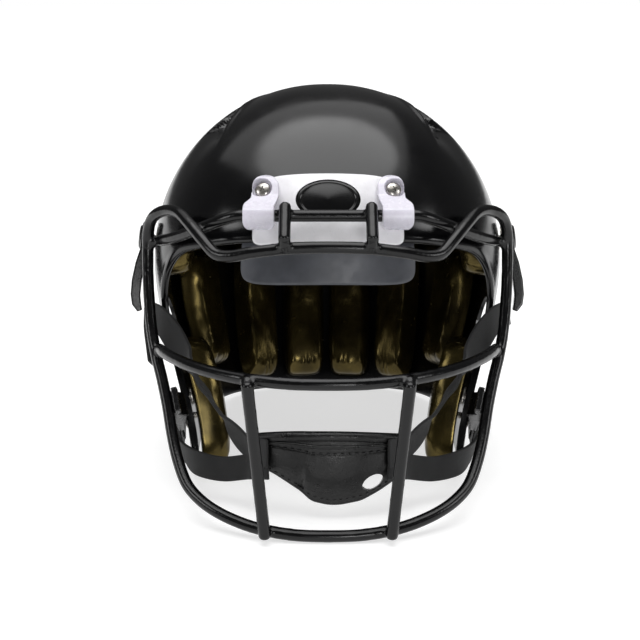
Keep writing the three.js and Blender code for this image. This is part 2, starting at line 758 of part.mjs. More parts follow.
// ---- liner ----------------------------------------------------------------------------------------------------------------
const padOuter = -(SHELL_WALL + PAD_STAND_OFF);
const pad = (shape) => skinPatch({ from: padOuter - PAD_THICK, to: padOuter, steps: 20, rings: 2, ...shape });
add("front_pad", pad({ ...FRONT_PAD, rings: 3, steps: 28 }), darkPad);
add("crown_pad", pad({ centre: V(0, 5, 130), width: 104, height: 120, up: V(0, -1, 0), rings: 3 }), gold);
addPair("rear_pad_inner", pad({ centre: V(18, 128, -25), width: 32, height: 122 }), gold);
addPair("rear_pad_outer", pad({ centre: V(55, 112, -25), width: 34, height: 122 }), gold);
addPair("ear_pad", pad({ centre: V(100, 62, -28), width: 48, height: 90 }), gold);
addPair("side_pad", pad({ centre: V(112, -16, 22), width: 70, height: 54 }), gold);
addPair(
  "jaw_pad",
  pad({ centre: V(96, -42, -86), width: 50, height: 80, from: padOuter - JAW_PAD_THICK, rings: 3 }),
  gold,
);

// ---- inflation valves ---------------------------------------------------------------------------------------------------------
function valve() {
  const body = turned([[0, -6], [4.4, -6], [4.4, 0.8], [7, 0.8], [6.4, 2.4], [0, 2.4]]);
  return cut(body, drill(1, -1, 5));
}
add("crown_valve", placed(valve(), crownValve.matrix), blackPlastic);
add("rear_valve", placed(valve(), rearValve.matrix), blackPlastic);

// ---- stand it on the table, centred ----------------------------------------------------------------------------------------------
const part = new THREE.Group();
part.add(helmet);
part.updateMatrixWorld(true);
const box = new THREE.Box3().setFromObject(helmet, true);
helmet.position.set(0, -(box.min.y + box.max.y) / 2, -box.min.z);

export default part;
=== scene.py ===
"""An american football helmet: glossy shell, face mask, white brow bumper, gold liner, chin strap."""

import json
import math

import bpy
import numpy as np
from mathutils import Matrix, Vector
from mathutils.kdtree import KDTree


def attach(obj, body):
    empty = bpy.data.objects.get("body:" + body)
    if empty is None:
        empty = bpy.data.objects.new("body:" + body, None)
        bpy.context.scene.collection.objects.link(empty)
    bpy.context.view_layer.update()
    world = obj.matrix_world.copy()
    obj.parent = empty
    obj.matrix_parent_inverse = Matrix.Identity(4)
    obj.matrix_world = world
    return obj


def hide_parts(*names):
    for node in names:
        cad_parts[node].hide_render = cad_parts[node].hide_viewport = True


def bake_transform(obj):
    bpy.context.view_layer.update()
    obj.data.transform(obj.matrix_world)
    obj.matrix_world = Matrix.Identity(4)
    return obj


bl_info = {
    "name": "Football helmet",
    "version": (1, 0, 0),
    "blender": (4, 5, 0),
    "location": "View3D > Sidebar > Helmet",
    "description": "Builds the visible pieces of an american football helmet on its packed frame",
    "category": "Add Mesh",
}

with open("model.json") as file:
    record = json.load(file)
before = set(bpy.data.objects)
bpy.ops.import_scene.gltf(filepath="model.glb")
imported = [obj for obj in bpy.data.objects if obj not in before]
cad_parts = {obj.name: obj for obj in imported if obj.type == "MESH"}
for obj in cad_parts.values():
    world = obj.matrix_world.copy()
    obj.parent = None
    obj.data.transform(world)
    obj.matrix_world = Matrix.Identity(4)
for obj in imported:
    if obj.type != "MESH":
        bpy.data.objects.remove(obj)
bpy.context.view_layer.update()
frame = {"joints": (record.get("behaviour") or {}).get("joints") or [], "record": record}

# ---- the head-level frame ----
# Every piece is described with the helmet level on a head, in millimetres: x to the side, -y
# forward, z up. stand() tips it back to where it rests on the table and turns it to metres.
SWING_Y = -143.0
SWING_Z = 34.0
_down = next(m for m in frame["record"]["mounts"] if m["name"] == "head_seat")["axis"]
TILT = math.atan2(-_down[1], -_down[2])
_swing = next(j for j in frame["joints"] if j["name"] == "facemask_swing")["pos_m"]
LEVEL_TO_TABLE = np.array(
    [
        [1.0, 0.0, 0.0],
        [0.0, math.cos(TILT), math.sin(TILT)],
        [0.0, -math.sin(TILT), math.cos(TILT)],
    ]
)
SHIFT = np.array(_swing) - LEVEL_TO_TABLE @ np.array([0.0, SWING_Y, SWING_Z]) / 1000.0


def stand(points):
    """Head-level millimetres to table metres."""
    return np.asarray(points, float) @ LEVEL_TO_TABLE.T / 1000.0 + SHIFT


def stand_one(x, y, z):
    return Vector(stand([[x, y, z]])[0])


# ---- the shell's skin, as the CAD model has it ----
HALF_WIDTH = 121.0
FRONT_REACH = 134.0
BACK_REACH = 146.0
DOME_RISE = 122.0
WIDEST_Z = 10.0
JAW_Z = -130.0
JAW_HALF_WIDTH = 94.0
NAPE_REACH = 122.0
SHELL_WALL = 4.0
BROW_Z = 18.0
NAPE_Z = -91.0
HEART = np.array([0.0, 5.0, -10.0])
CROWN_POLE = np.array([0.0, 50.0, 90.0])
WIRE_R = 3.85
BUMPER_THICK = 3.6
SEAT_GAP = 0.6


def smooth(u):
    u = np.clip(u, 0.0, 1.0)
    return u * u * (3.0 - 2.0 * u)


def skin_depth(points):
    """About how far points lie outside the skin (inside is negative), in millimetres."""
    p = np.asarray(points, float)
    slope = np.linalg.norm(
        np.stack([skin_value(p + d) - skin_value(p - d) for d in np.eye(3) * 0.05], -1) / 0.1, axis=-1
    )
    return (skin_value(p) - 1.0) / np.maximum(slope, 1e-6)


def unit(v):
    v = np.asarray(v, float)
    return v / np.linalg.norm(v, axis=-1, keepdims=True)


def skin_value(p):
    """1 on the skin, less inside it."""
    drop = np.clip((WIDEST_Z - p[..., 2]) / (WIDEST_Z - JAW_Z), 0.0, 1.3)
    taper = smooth(np.minimum(drop, 1.0))
    half = HALF_WIDTH + (JAW_HALF_WIDTH - HALF_WIDTH) * taper
    back = BACK_REACH + (NAPE_REACH - BACK_REACH) * taper
    reach = np.where(p[..., 1] < 0.0, FRONT_REACH, back)
    power = 2.3 + 0.8 * taper
    across = (np.abs(p[..., 0]) / half) ** power
    along = (np.abs(p[..., 1]) / reach) ** power
    dome = np.where(p[..., 2] > WIDEST_Z, ((p[..., 2] - WIDEST_Z) / DOME_RISE) ** 2, 0.0)
    return (across + along) ** (2.0 / power) + dome


def skin_normal(p):
    e = 0.05
    slopes = []
    for axis in range(3):
        step = np.zeros(3)
        step[axis] = e
        slopes.append(skin_value(p + step) - skin_value(p - step))
    return unit(np.stack(slopes, -1))


def on_skin(p, offset=0.0):
    """The skin's points seen from the heart towards p, moved out along the skin's normal."""
    ray = unit(np.asarray(p, float) - HEART)
    near = np.full(ray.shape[:-1], 20.0)
    far = np.full(ray.shape[:-1], 260.0)
    for _ in range(36):
        middle = (near + far) / 2.0
        inside = skin_value(HEART + ray * middle[..., None]) < 1.0
        near = np.where(inside, middle, near)
        far = np.where(inside, far, middle)
    q = HEART + ray * near[..., None]
    return q + skin_normal(q) * np.asarray(offset, float)[..., None]


# The right half of the shell's lower edge, from the brow round the face opening to the nape.
SHELL_EDGE = [
    (0, -131, BROW_Z), (30, -129, BROW_Z), (60, -119, BROW_Z - 1), (80, -108, BROW_Z - 3),
    (95, -94, BROW_Z - 6), (104, -82, BROW_Z - 13), (109, -70, BROW_Z - 24), (111, -61, BROW_Z - 40),
    (107, -58, -45), (100, -62, JAW_Z + 62), (95, -69, JAW_Z + 40), (90, -76, JAW_Z + 22),
    (88, -77, JAW_Z + 10), (88, -70, JAW_Z + 1), (91, -52, JAW_Z - 2), (94, -25, JAW_Z + 1),
    (96, 5, JAW_Z + 8), (96, 35, NAPE_Z - 20), (89, 72, NAPE_Z - 9.5), (70, 104, NAPE_Z - 3),
    (38, 120, NAPE_Z + 0.5), (0, 126, NAPE_Z + 1),
]


def closed_curve(points, count):
    """Evenly spaced points on a closed centripetal Catmull-Rom curve."""
    pts = np.asarray(points, float)
    n = len(pts)
    fine = []
    for i in range(n):
        p0, p1, p2, p3 = (pts[(i + k - 1) % n] for k in range(4))
        fine.append(_catmull(p0, p1, p2, p3, np.linspace(0, 1, 24, endpoint=False)))
    fine = np.concatenate(fine)
    loop = np.vstack([fine, fine[:1]])
    walked = np.concatenate([[0], np.cumsum(np.linalg.norm(np.diff(loop, axis=0), axis=1))])
    want = np.linspace(0, walked[-1], count, endpoint=False)
    return np.stack([np.interp(want, walked, loop[:, k]) for k in range(3)], -1)


def open_curve(points, count):
    """Evenly spaced points on an open centripetal Catmull-Rom curve."""
    pts = np.asarray(points, float)
    padded = np.vstack([2 * pts[0] - pts[1], pts, 2 * pts[-1] - pts[-2]])
    fine = [
        _catmull(*padded[i : i + 4], np.linspace(0, 1, 24, endpoint=False)) for i in range(len(pts) - 1)
    ]
    fine = np.concatenate(fine + [pts[-1:]])
    walked = np.concatenate([[0], np.cumsum(np.linalg.norm(np.diff(fine, axis=0), axis=1))])
    want = np.linspace(0, walked[-1], count)
    return np.stack([np.interp(want, walked, fine[:, k]) for k in range(3)], -1)


def _catmull(p0, p1, p2, p3, t):
    d1 = np.linalg.norm(p1 - p0) ** 0.5
    d2 = np.linalg.norm(p2 - p1) ** 0.5
    d3 = np.linalg.norm(p3 - p2) ** 0.5
    m1 = ((p1 - p0) / d1 - (p2 - p0) / (d1 + d2) + (p2 - p1) / d2) * d2
    m2 = ((p2 - p1) / d2 - (p3 - p1) / (d2 + d3) + (p3 - p2) / d3) * d2
    t = t[:, None]
    return (
        (2 * t**3 - 3 * t**2 + 1) * p1
        + (t**3 - 2 * t**2 + t) * m1
        + (-2 * t**3 + 3 * t**2) * p2
        + (t**3 - t**2) * m2
    )


# ---- modelling helpers ----
def deselect():
    if bpy.context.object and bpy.context.object.mode != "OBJECT":
        bpy.ops.object.mode_set(mode="OBJECT")
    bpy.ops.object.select_all(action="DESELECT")


def choose(*objects):
    deselect()
    for item in objects:
        item.select_set(True)
    bpy.context.view_layer.objects.active = objects[0]


def coords(obj):
    flat = np.empty(len(obj.data.vertices) * 3)
    obj.data.vertices.foreach_get("co", flat)
    return flat.reshape(-1, 3)


def set_coords(obj, points):
    obj.data.vertices.foreach_set("co", np.asarray(points, float).ravel())
    obj.data.update()


def named(name):
    """Renames the object just added, and puts its origin and turn at the world's."""
    obj = bpy.context.object
    obj.name = name
    obj.data.name = name
    bpy.ops.object.transform_apply(location=True, rotation=True, scale=True)
    return obj


def modify(obj, kind, **settings):
    """Adds a modifier and applies it."""
    choose(obj)
    modifier = obj.modifiers.new(kind.title(), kind)
    for key, value in settings.items():
        setattr(modifier, key, value)
    bpy.ops.object.modifier_apply(modifier=modifier.name)


def carve(obj, *tools, operation="DIFFERENCE", solver="MANIFOLD", clean=False):
    """Cuts tools out of a piece, or unites or intersects them with it, and removes the tools."""
    for tool in tools:
        if clean:
            outward(tool)
            outward(obj)
        modify(obj, "BOOLEAN", operation=operation, object=tool, solver=solver)
        bpy.data.objects.remove(tool, do_unlink=True)


def outward(obj):
    """Merges doubles and points every face out."""
    choose(obj)
    bpy.ops.object.mode_set(mode="EDIT")
    bpy.ops.mesh.select_all(action="SELECT")
    bpy.ops.mesh.remove_doubles(threshold=1e-6)
    bpy.ops.mesh.normals_make_consistent(inside=False)
    bpy.ops.object.mode_set(mode="OBJECT")


def soften(obj, degrees=35.0):
    choose(obj)
    bpy.ops.object.shade_smooth_by_angle(angle=math.radians(degrees))


def joined(name, *objects):
    choose(*objects)
    if len(objects) > 1:
        bpy.ops.object.join()
    objects[0].name = name
    objects[0].data.name = name
    return objects[0]


def mirrored_copy(obj, name):
    """The same piece on the other side, with a mesh of its own."""
    other = obj.copy()
    other.data = obj.data.copy()
    other.name = name
    other.data.name = name
    bpy.context.collection.objects.link(other)
    points = coords(other)
    points[:, 0] *= -1.0
    set_coords(other, points)
    other.data.flip_normals()
    return other


def keep(obj, body, slot, *nodes):
    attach(obj, body)
    if nodes:
        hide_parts(*nodes)
    return obj


def paint(obj, stuff):
    obj.data.materials.clear()
    obj.data.materials.append(material(stuff))
    return obj


def finish(obj, stuff, body, slot, *nodes, degrees=35.0):
    """Takes a head-level piece to the table, smooths and paints it, and puts it on its body."""
    to_table(obj)
    soften(obj, degrees)
    paint(obj, stuff)
    return keep(obj, body, slot, *nodes)


def ball_grid(name, segments, rings):
    """A ball whose rings are then laid on a surface: returns it with each vertex's ring and turn."""
    deselect()
    bpy.ops.mesh.primitive_uv_sphere_add(segments=segments, ring_count=rings, radius=1.0)
    obj = named(name)
    p = coords(obj)
    ring = np.rint(np.arccos(np.clip(p[:, 2], -1, 1)) / math.pi * rings).astype(int)
    turn = np.rint(np.arctan2(p[:, 1], p[:, 0]) / (2 * math.pi) * segments).astype(int) % segments
    return obj, ring, turn


def turned(name, profile, segments=32):
    """A lathe-turned piece about +z, in millimetres: profile pairs run from the low axis to the high axis."""
    obj, ring, turn = ball_grid(name, segments, len(profile) - 1)
    radius = np.array([r for r, _ in profile][::-1])[ring]
    height = np.array([h for _, h in profile][::-1])[ring]
    angle = turn * 2 * math.pi / segments
    set_coords(obj, np.stack([radius * np.cos(angle), radius * np.sin(angle), height], -1))
    return obj


def slab(name, outline, low, high):
    """A flat outline in the x-y plane extruded from low to high, in millimetres."""
    deselect()
    bpy.ops.mesh.primitive_circle_add(vertices=len(outline), radius=1.0, fill_type="NGON")
    obj = named(name)
    set_coords(obj, [(x, y, low) for x, y in outline])
    bpy.ops.object.mode_set(mode="EDIT")
    bpy.ops.mesh.select_all(action="SELECT")
    bpy.ops.mesh.extrude_region_move(TRANSFORM_OT_translate={"value": (0, 0, high - low)})
    bpy.ops.mesh.select_all(action="SELECT")
    bpy.ops.mesh.normals_make_consistent(inside=False)
    bpy.ops.object.mode_set(mode="OBJECT")
    return obj


def place(obj, matrix):
    """Moves a piece made in millimetres about its own origin to a head-level place."""
    points = np.c_[coords(obj), np.ones(len(obj.data.vertices))] @ np.array(matrix).T
    set_coords(obj, points[:, :3])
    return obj


def to_table(obj):
    set_coords(obj, stand(coords(obj)))
    return obj


def station(x, y, z, heading=(0.0, 0.0, -1.0), offset=0.0):
    """A place on the skin: +z along its normal and +x towards a heading, as a head-level matrix."""
    point = on_skin(np.array([x, y, z], float))
    normal = skin_normal(point)
    along = np.array(heading, float)
    along = unit(along - normal * along.dot(normal))
    side = np.cross(normal, along)
    matrix = np.eye(4)
    matrix[:3, 0] = along
    matrix[:3, 1] = side
    matrix[:3, 2] = normal
    matrix[:3, 3] = point + normal * offset
    return matrix


def rounded_box_outline(width, height, radius, steps=8):
    """A rectangle with round corners, centred, as outline points."""
    points = []
    for cx, cy, start in ((1, 1, 0), (-1, 1, 90), (-1, -1, 180), (1, -1, 270)):
        for i in range(steps + 1):
            a = math.radians(start + 90 * i / steps)
            points.append(
                (
                    cx * (width / 2 - radius) + radius * math.cos(a),
                    cy * (height / 2 - radius) + radius * math.sin(a),
                )
            )
    return points


MM = 0.001
WHITE = (1.0, 1.0, 1.0, 1.0)


# ---- materials ----
def linear(code):
    """An sRGB hex code as a linear colour."""
    parts = [int(code[i : i + 2], 16) / 255 for i in (1, 3, 5)]
    return tuple(c / 12.92 if c <= 0.04045 else ((c + 0.055) / 1.055) ** 2.4 for c in parts) + (1.0,)


def per_mm(millimetres):
    """A texture scale whose features are about this size, on Object coordinates in metres."""
    return 1000.0 / millimetres


def fill(tree, made, sockets):
    """Gives each socket a value, or a link written as (node, output)."""
    for key, value in sockets.items():
        if isinstance(value, tuple) and isinstance(value[0], bpy.types.Node):
            tree.links.new(value[0].outputs[value[1]], made.inputs[key])
        else:
            made.inputs[key].default_value = value


def node(tree, kind, sockets, **settings):
    """Adds one node with its settings, its sockets' values and its links."""
    made = tree.nodes.new(kind)
    for key, value in settings.items():
        setattr(made, key, value)
    fill(tree, made, sockets)
    return made


def new_material(name):
    """A material, its node tree, its Object coordinates and its shader."""
    made = bpy.data.materials.new(name)
    made.use_nodes = True
    tree = made.node_tree
    tree.nodes.clear()
    where = node(tree, "ShaderNodeTexCoord", {})
    shader = node(tree, "ShaderNodeBsdfPrincipled", {})
    node(tree, "ShaderNodeOutputMaterial", {"Surface": (shader, "BSDF")})
    return made, tree, (where, "Object"), shader


NOISE, RANGE, MIX, BUMP = "ShaderNodeTexNoise", "ShaderNodeMapRange", "ShaderNodeMixRGB", "ShaderNodeBump"
CELLS, WAVES, TIMES = "ShaderNodeTexVoronoi", "ShaderNodeTexWave", "ShaderNodeMath"
# A noise seldom leaves 0.3 to 0.7, so its patches run between those two values.
PATCHES = {"From Min": 0.3, "From Max": 0.7}
SHARE = {**PATCHES, "To Min": 0.0, "To Max": 1.0}
EVEN = {"Detail": 3.0, "Roughness": 0.55}
SMOOTH = {"Detail": 2.0, "Roughness": 0.55}


def polycarbonate():
    """Gloss-moulded black polycarbonate: deep clear reflections, a faint ripple and a little dust haze."""
    made, tree, where, shader = new_material("Polycarbonate, moulded black gloss")
    haze = node(tree, NOISE, {"Vector": where, "Scale": per_mm(30.0), "Detail": 5.0, "Roughness": 0.55})
    level = node(tree, RANGE, {"Value": (haze, "Fac"), **PATCHES, "To Min": 0.13, "To Max": 0.24})
    ripple = node(tree, NOISE, {"Vector": where, "Scale": per_mm(14.0), "Detail": 1.0, "Roughness": 0.55})
    wavy = node(tree, BUMP, {"Height": (ripple, "Fac"), "Strength": 0.25, "Distance": 0.12 * MM})
    shell = tuple(bpy.context.scene.helmet_shell.colour)
    sockets = {"Base Color": shell, "IOR": 1.45, "Roughness": (level, "Result"), "Normal": (wavy, "Normal")}
    fill(tree, shader, sockets)
    return made


def vinyl_dip():
    """Vinyl dipped over steel wire: satin black with the soft sags that a thick dip leaves."""
    made, tree, where, shader = new_material("Vinyl, dipped black satin")
    cloud = node(tree, NOISE, {"Vector": where, "Scale": per_mm(9.0), **EVEN})
    level = node(tree, RANGE, {"Value": (cloud, "Fac"), **PATCHES, "To Min": 0.16, "To Max": 0.27})
    thick = node(tree, NOISE, {"Vector": where, "Scale": per_mm(7.0), **SMOOTH})
    sags = node(tree, BUMP, {"Height": (thick, "Fac"), "Strength": 0.5, "Distance": 0.25 * MM})
    fine = node(tree, NOISE, {"Vector": where, "Scale": per_mm(0.9), **SMOOTH})
    height = {"Height": (fine, "Fac"), "Strength": 0.25, "Distance": 0.05 * MM, "Normal": (sags, "Normal")}
    grain = node(tree, BUMP, height)
    dip = tuple(bpy.context.scene.helmet_mask.colour)
    sockets = {"Base Color": dip, "IOR": 1.4, "Roughness": (level, "Result"), "Normal": (grain, "Normal")}
    fill(tree, shader, sockets)
    return made


def moulded_plastic(name, colour, rough, grain_mm, glow=0.0, relief=0.35):
    """Injection-moulded plastic: an even colour, slightly mottled, over a fine spark-eroded grain."""
    made, tree, where, shader = new_material(name)
    darker = tuple(c * 0.86 for c in colour[:3]) + (1.0,)
    cloud = node(tree, NOISE, {"Vector": where, "Scale": per_mm(12.0), **EVEN})
    mottle = node(tree, RANGE, {"Value": (cloud, "Fac"), **SHARE})
    tone = node(tree, MIX, {"Fac": (mottle, "Result"), "Color1": colour, "Color2": darker})
    haze = node(tree, NOISE, {"Vector": where, "Scale": per_mm(3.0), **EVEN})
    level = {"Value": (haze, "Fac"), **PATCHES, "To Min": rough * 0.85, "To Max": rough * 1.2}
    level = node(tree, RANGE, level)
    sparks = node(tree, NOISE, {"Vector": where, "Scale": per_mm(grain_mm), **SMOOTH})
    grain = node(tree, BUMP, {"Height": (sparks, "Fac"), "Strength": relief, "Distance": 0.06 * MM})
    sockets = {"Base Color": (tone, "Color"), "Roughness": (level, "Result"), "Normal": (grain, "Normal")}
    fill(tree, shader, {**sockets, "Subsurface Weight": glow, "Subsurface Radius": (0.004, 0.0035, 0.004)})
    return made


def zinc_steel():
    """Zinc-plated steel: bright grey, cloudy, with fine turning marks."""
    made, tree, where, shader = new_material("Steel, zinc plated")
    mist = node(tree, NOISE, {"Vector": where, "Scale": per_mm(2.5), **EVEN})
    cloud = node(tree, RANGE, {"Value": (mist, "Fac"), **SHARE})
    tones = {"Fac": (cloud, "Result"), "Color1": linear("#c9c6c1"), "Color2": linear("#8f8b84")}
    tone = node(tree, MIX, tones)
    span = {"From Min": 0.0, "From Max": 1.0, "To Min": 0.22, "To Max": 0.38}
    level = node(tree, RANGE, {"Value": (cloud, "Result"), **span})
    turning = node(tree, NOISE, {"Vector": where, "Scale": per_mm(0.5), **SMOOTH})
    marks = node(tree, BUMP, {"Height": (turning, "Fac"), "Strength": 0.3, "Distance": 0.04 * MM})
    sockets = {"Base Color": (tone, "Color"), "Roughness": (level, "Result"), "Normal": (marks, "Normal")}
    fill(tree, shader, {**sockets, "Metallic": 1.0})
    return made


def coated_vinyl(name, face, painted_shade, rough, metallic):
    """Vinyl-coated pad fabric: a pearly face with soft creases and an even calendered grain."""
    made, tree, where, shader = new_material(name)
    wide = node(tree, NOISE, {"Vector": where, "Scale": per_mm(26.0), "Detail": 4.0, "Roughness": 0.55})
    patch = node(tree, RANGE, {"Value": (wide, "Fac"), **SHARE})
    # The second colour is painted shade: a darker copy of the vinyl, mixed over the face in wide random patches
    # that do not follow the creases.
    tone = node(tree, MIX, {"Fac": (patch, "Result"), "Color1": face, "Color2": painted_shade})
    haze = node(tree, NOISE, {"Vector": where, "Scale": per_mm(8.0), **EVEN})
    level = {"Value": (haze, "Fac"), **PATCHES, "To Min": rough * 0.8, "To Max": rough * 1.25}
    level = node(tree, RANGE, level)
    slack = node(tree, NOISE, {"Vector": where, "Scale": per_mm(34.0), "Detail": 1.0, "Roughness": 0.4})
    folds = node(tree, BUMP, {"Height": (slack, "Fac"), "Strength": 0.35, "Distance": 1.6 * MM})
    fine = node(tree, NOISE, {"Vector": where, "Scale": per_mm(1.6), "Detail": 1.0, "Roughness": 0.55})
    height = {"Height": (fine, "Fac"), "Strength": 0.1, "Distance": 0.06 * MM, "Normal": (folds, "Normal")}
    grain = node(tree, BUMP, height)
    sockets = {"Base Color": (tone, "Color"), "Roughness": (level, "Result"), "Normal": (grain, "Normal")}
    fill(tree, shader, {**sockets, "Metallic": metallic})
    return made


# A wave repeats every 0.314 / scale of its coordinates, so these ribs are 0.44 mm apart.
WEAVE_SCALE = 1 / 1.4


def webbing():
    """Woven nylon webbing: ribs across the strap and a flat selvedge at each edge, from its own UV map."""
    made, tree, (where, _), shader = new_material("Nylon, woven webbing")
    along = {"Vector": (where, "UV"), "Scale": WEAVE_SCALE, "Distortion": 0.6, "Detail": 1.0}
    ribs = node(tree, WAVES, along, wave_type="BANDS", bands_direction="Y")
    across = {"Vector": (where, "UV"), "Scale": 0.45, "Distortion": 0.3}
    ends = node(tree, WAVES, across, wave_type="BANDS", bands_direction="X")
    weave = node(tree, TIMES, {0: (ribs, "Fac"), 1: (ends, "Fac")}, operation="MULTIPLY")
    # The colour is darker where the weave is low: painted shade in the grooves between the ribs.
    tones = {"Fac": (weave, "Value"), "Color1": linear("#050506"), "Color2": linear("#131416")}
    tone = node(tree, MIX, tones)
    raised = node(tree, BUMP, {"Height": (weave, "Value"), "Strength": 0.8, "Distance": 0.35 * MM})
    sockets = {"Base Color": (tone, "Color"), "Roughness": 0.72, "Normal": (raised, "Normal")}
    fill(tree, shader, {**sockets, "Sheen Weight": 0.06, "Sheen Roughness": 0.5})
    return made


def leather():
    """Chrome-tanned black leather: pebbled grain, creases and a slight handling shine."""
    made, tree, where, shader = new_material("Leather, pebbled black")
    handled = node(tree, NOISE, {"Vector": where, "Scale": per_mm(16.0), "Detail": 4.0, "Roughness": 0.55})
    wear = node(tree, RANGE, {"Value": (handled, "Fac"), **SHARE})
    tones = {"Fac": (wear, "Result"), "Color1": linear("#040404"), "Color2": linear("#0b0b0b")}
    tone = node(tree, MIX, tones)
    haze = node(tree, NOISE, {"Vector": where, "Scale": per_mm(6.0), **EVEN})
    level = node(tree, RANGE, {"Value": (haze, "Fac"), **PATCHES, "To Min": 0.24, "To Max": 0.42})
    pebbles = {"Vector": where, "Scale": per_mm(1.5)}
    pebbles = node(tree, CELLS, pebbles, feature="DISTANCE_TO_EDGE")
    grain = node(tree, BUMP, {"Height": (pebbles, "Distance"), "Strength": 0.5, "Distance": 0.35 * MM})
    worn = node(tree, NOISE, {"Vector": where, "Scale": per_mm(9.0), "Detail": 4.0, "Roughness": 0.65})
    height = {"Height": (worn, "Fac"), "Strength": 0.55, "Distance": 1.2 * MM, "Normal": (grain, "Normal")}
    creases = node(tree, BUMP, height)
    sockets = {"Base Color": (tone, "Color"), "Roughness": (level, "Result"), "Normal": (creases, "Normal")}
    fill(tree, shader, {**sockets, "IOR": 1.42})
    return made


def knit_lining():
    """Brushed tricot lining: dull black, fuzzy, with a fine loop texture."""
    made, tree, where, shader = new_material("Tricot, brushed lining")
    loops = node(tree, CELLS, {"Vector": where, "Scale": per_mm(0.9)})
    tones = {"Fac": (loops, "Distance"), "Color1": linear("#1a1a1c"), "Color2": linear("#0c0c0d")}
    tone = node(tree, MIX, tones)
    raised = node(tree, BUMP, {"Height": (loops, "Distance"), "Strength": 0.5, "Distance": 0.3 * MM})
    sockets = {"Base Color": (tone, "Color"), "Roughness": 0.9, "Normal": (raised, "Normal")}
    fill(tree, shader, {**sockets, "Sheen Weight": 0.4})
    return made


def chosen(group, *fields):
    """Colours that the settings hold, as plain tuples."""
    return [tuple(getattr(getattr(bpy.context.scene, group), field)) for field in fields]


MATERIALS = {
    "gloss": polycarbonate,
    "dip": vinyl_dip,
    "white": lambda: moulded_plastic(
        "Nylon, moulded white", *chosen("helmet_shell", "bumper"), 0.3, 0.8, 0.05
    ),
    "clip": lambda: moulded_plastic(
        "Nylon, moulded natural", *chosen("helmet_mask", "clip"), 0.26, 0.8, 0.35
    ),
    "black": lambda: moulded_plastic("Acetal, moulded black", linear("#060607"), 0.24, 0.9, relief=0.12),
    "steel": zinc_steel,
    "gold": lambda: coated_vinyl(
        "Vinyl, gold coated liner", *chosen("helmet_liner", "gold", "gold_painted_shade"), 0.22, 0.85
    ),
    "grey": lambda: coated_vinyl(
        "Vinyl, dark grey liner", *chosen("helmet_liner", "grey", "grey_painted_shade"), 0.36, 0.0
    ),
    "webbing": webbing,
    "leather": leather,
    "lining": knit_lining,
}
_made = {}


def material(key):
    if key not in _made:
        _made[key] = MATERIALS[key]()
    return _made[key]


# ---- pieces that follow the skin ----
def frame_at(centre, up=(0.0, 0.0, 1.0)):
    """The skin's point, and its side and top directions in the tangent plane."""
    middle = on_skin(np.array(centre, float))
    out = skin_normal(middle)
    side = unit(np.cross(np.array(up, float), out))
    return middle, side, np.cross(out, side)


def skin_plate(name, centre, width, height, low, high, power, edge, detail, flare=0.0):
    """A plate between two offsets from the skin, with rounded corners and a rounded edge."""
    segments, face_rings = detail
    bend = 8
    rings = 2 * face_rings + 2 * bend
    obj, ring, turn = ball_grid(name, segments, rings)
    middle, side, top = frame_at(centre)
    angle = turn * 2 * math.pi / segments
    c, s = np.cos(angle), np.sin(angle)
    corner = np.where(s < 0, max(power, 12.0) if flare else power, power)
    reach = 1.0 / (np.abs(c) ** corner + np.abs(s) ** corner) ** (1.0 / corner)
    half = rings / 2.0
    upper = ring <= half
    step = np.where(upper, ring, rings - ring)
    on_face = step <= face_rings
    turn_in = np.clip((step - face_rings) / bend, 0, 1) * math.pi / 2
    size = min(width, height) / 2.0
    rim = edge / size
    share = np.where(on_face, step / face_rings * (1 - rim), 1 - rim + rim * np.sin(turn_in))
    sink = np.where(on_face, 0.0, edge * (1 - np.cos(turn_in)))
    offset = np.where(upper, high - sink, low + sink)
    spread = 1.0 - flare * share * reach * s
    flat = middle + (share * reach * c * spread * width / 2)[:, None] * side
    flat = flat + (share * reach * s * height / 2)[:, None] * top
    points = on_skin(flat, offset)
    set_coords(obj, points)
    return obj


def inside_skin(offset):
    """Everything inside the skin moved out by an offset, as a cutter."""
    obj, _, _ = ball_grid("skin cutter", 128, 64)
    p = coords(obj)
    set_coords(obj, on_skin(HEART + p * 100.0, np.full(len(p), offset)))
    return obj


def moulded(obj, voxel_mm, rounds):
    """Rounds a blocky piece as a mould would: remeshed finely, then relaxed."""
    modify(obj, "REMESH", mode="VOXEL", voxel_size=voxel_mm, use_smooth_shade=True)
    modify(obj, "SMOOTH", factor=0.5, iterations=rounds)
    return obj


def rope(name, points, radius, segments=16, rings=80):
    """A round rod along points, in millimetres, with blunt round ends."""
    line = open_curve(points, 400)
    obj, ring, turn = ball_grid(name, segments, rings)
    walked = np.concatenate([[0], np.cumsum(np.linalg.norm(np.diff(line, axis=0), axis=1))])
    total = walked[-1]
    caps = 4
    theta = np.clip(np.minimum(ring, rings - ring) / caps, 0, 1) * math.pi / 2
    body = np.clip((ring - caps) / (rings - 2 * caps), 0, 1)
    blunt = 0.55 * radius
    along = np.where(ring < caps, blunt * (1 - np.cos(theta)), blunt + body * (total - 2 * blunt))
    along = np.where(ring > rings - caps, total - blunt * (1 - np.cos(theta)), along)
    centre = np.stack([np.interp(along, walked, line[:, k]) for k in range(3)], -1)
    ahead = np.stack([np.interp(np.clip(along + 0.4, 0, total), walked, line[:, k]) for k in range(3)], -1)
    behind = np.stack([np.interp(np.clip(along - 0.4, 0, total), walked, line[:, k]) for k in range(3)], -1)
    tangent = unit(ahead - behind)
    upright = abs(unit(line[-1] - line[0])[2]) >= 0.8
    guide = np.array([1.0, 0.2, 0.1] if upright else [0.12, 0.25, 1.0])
    first = unit(guide - tangent * (tangent @ guide)[:, None])
    second = np.cross(first, tangent)
    a = turn * 2 * math.pi / segments
    r = radius * np.sin(theta)
    set_coords(obj, centre + (r * np.cos(a))[:, None] * first + (r * np.sin(a))[:, None] * second)
    return obj


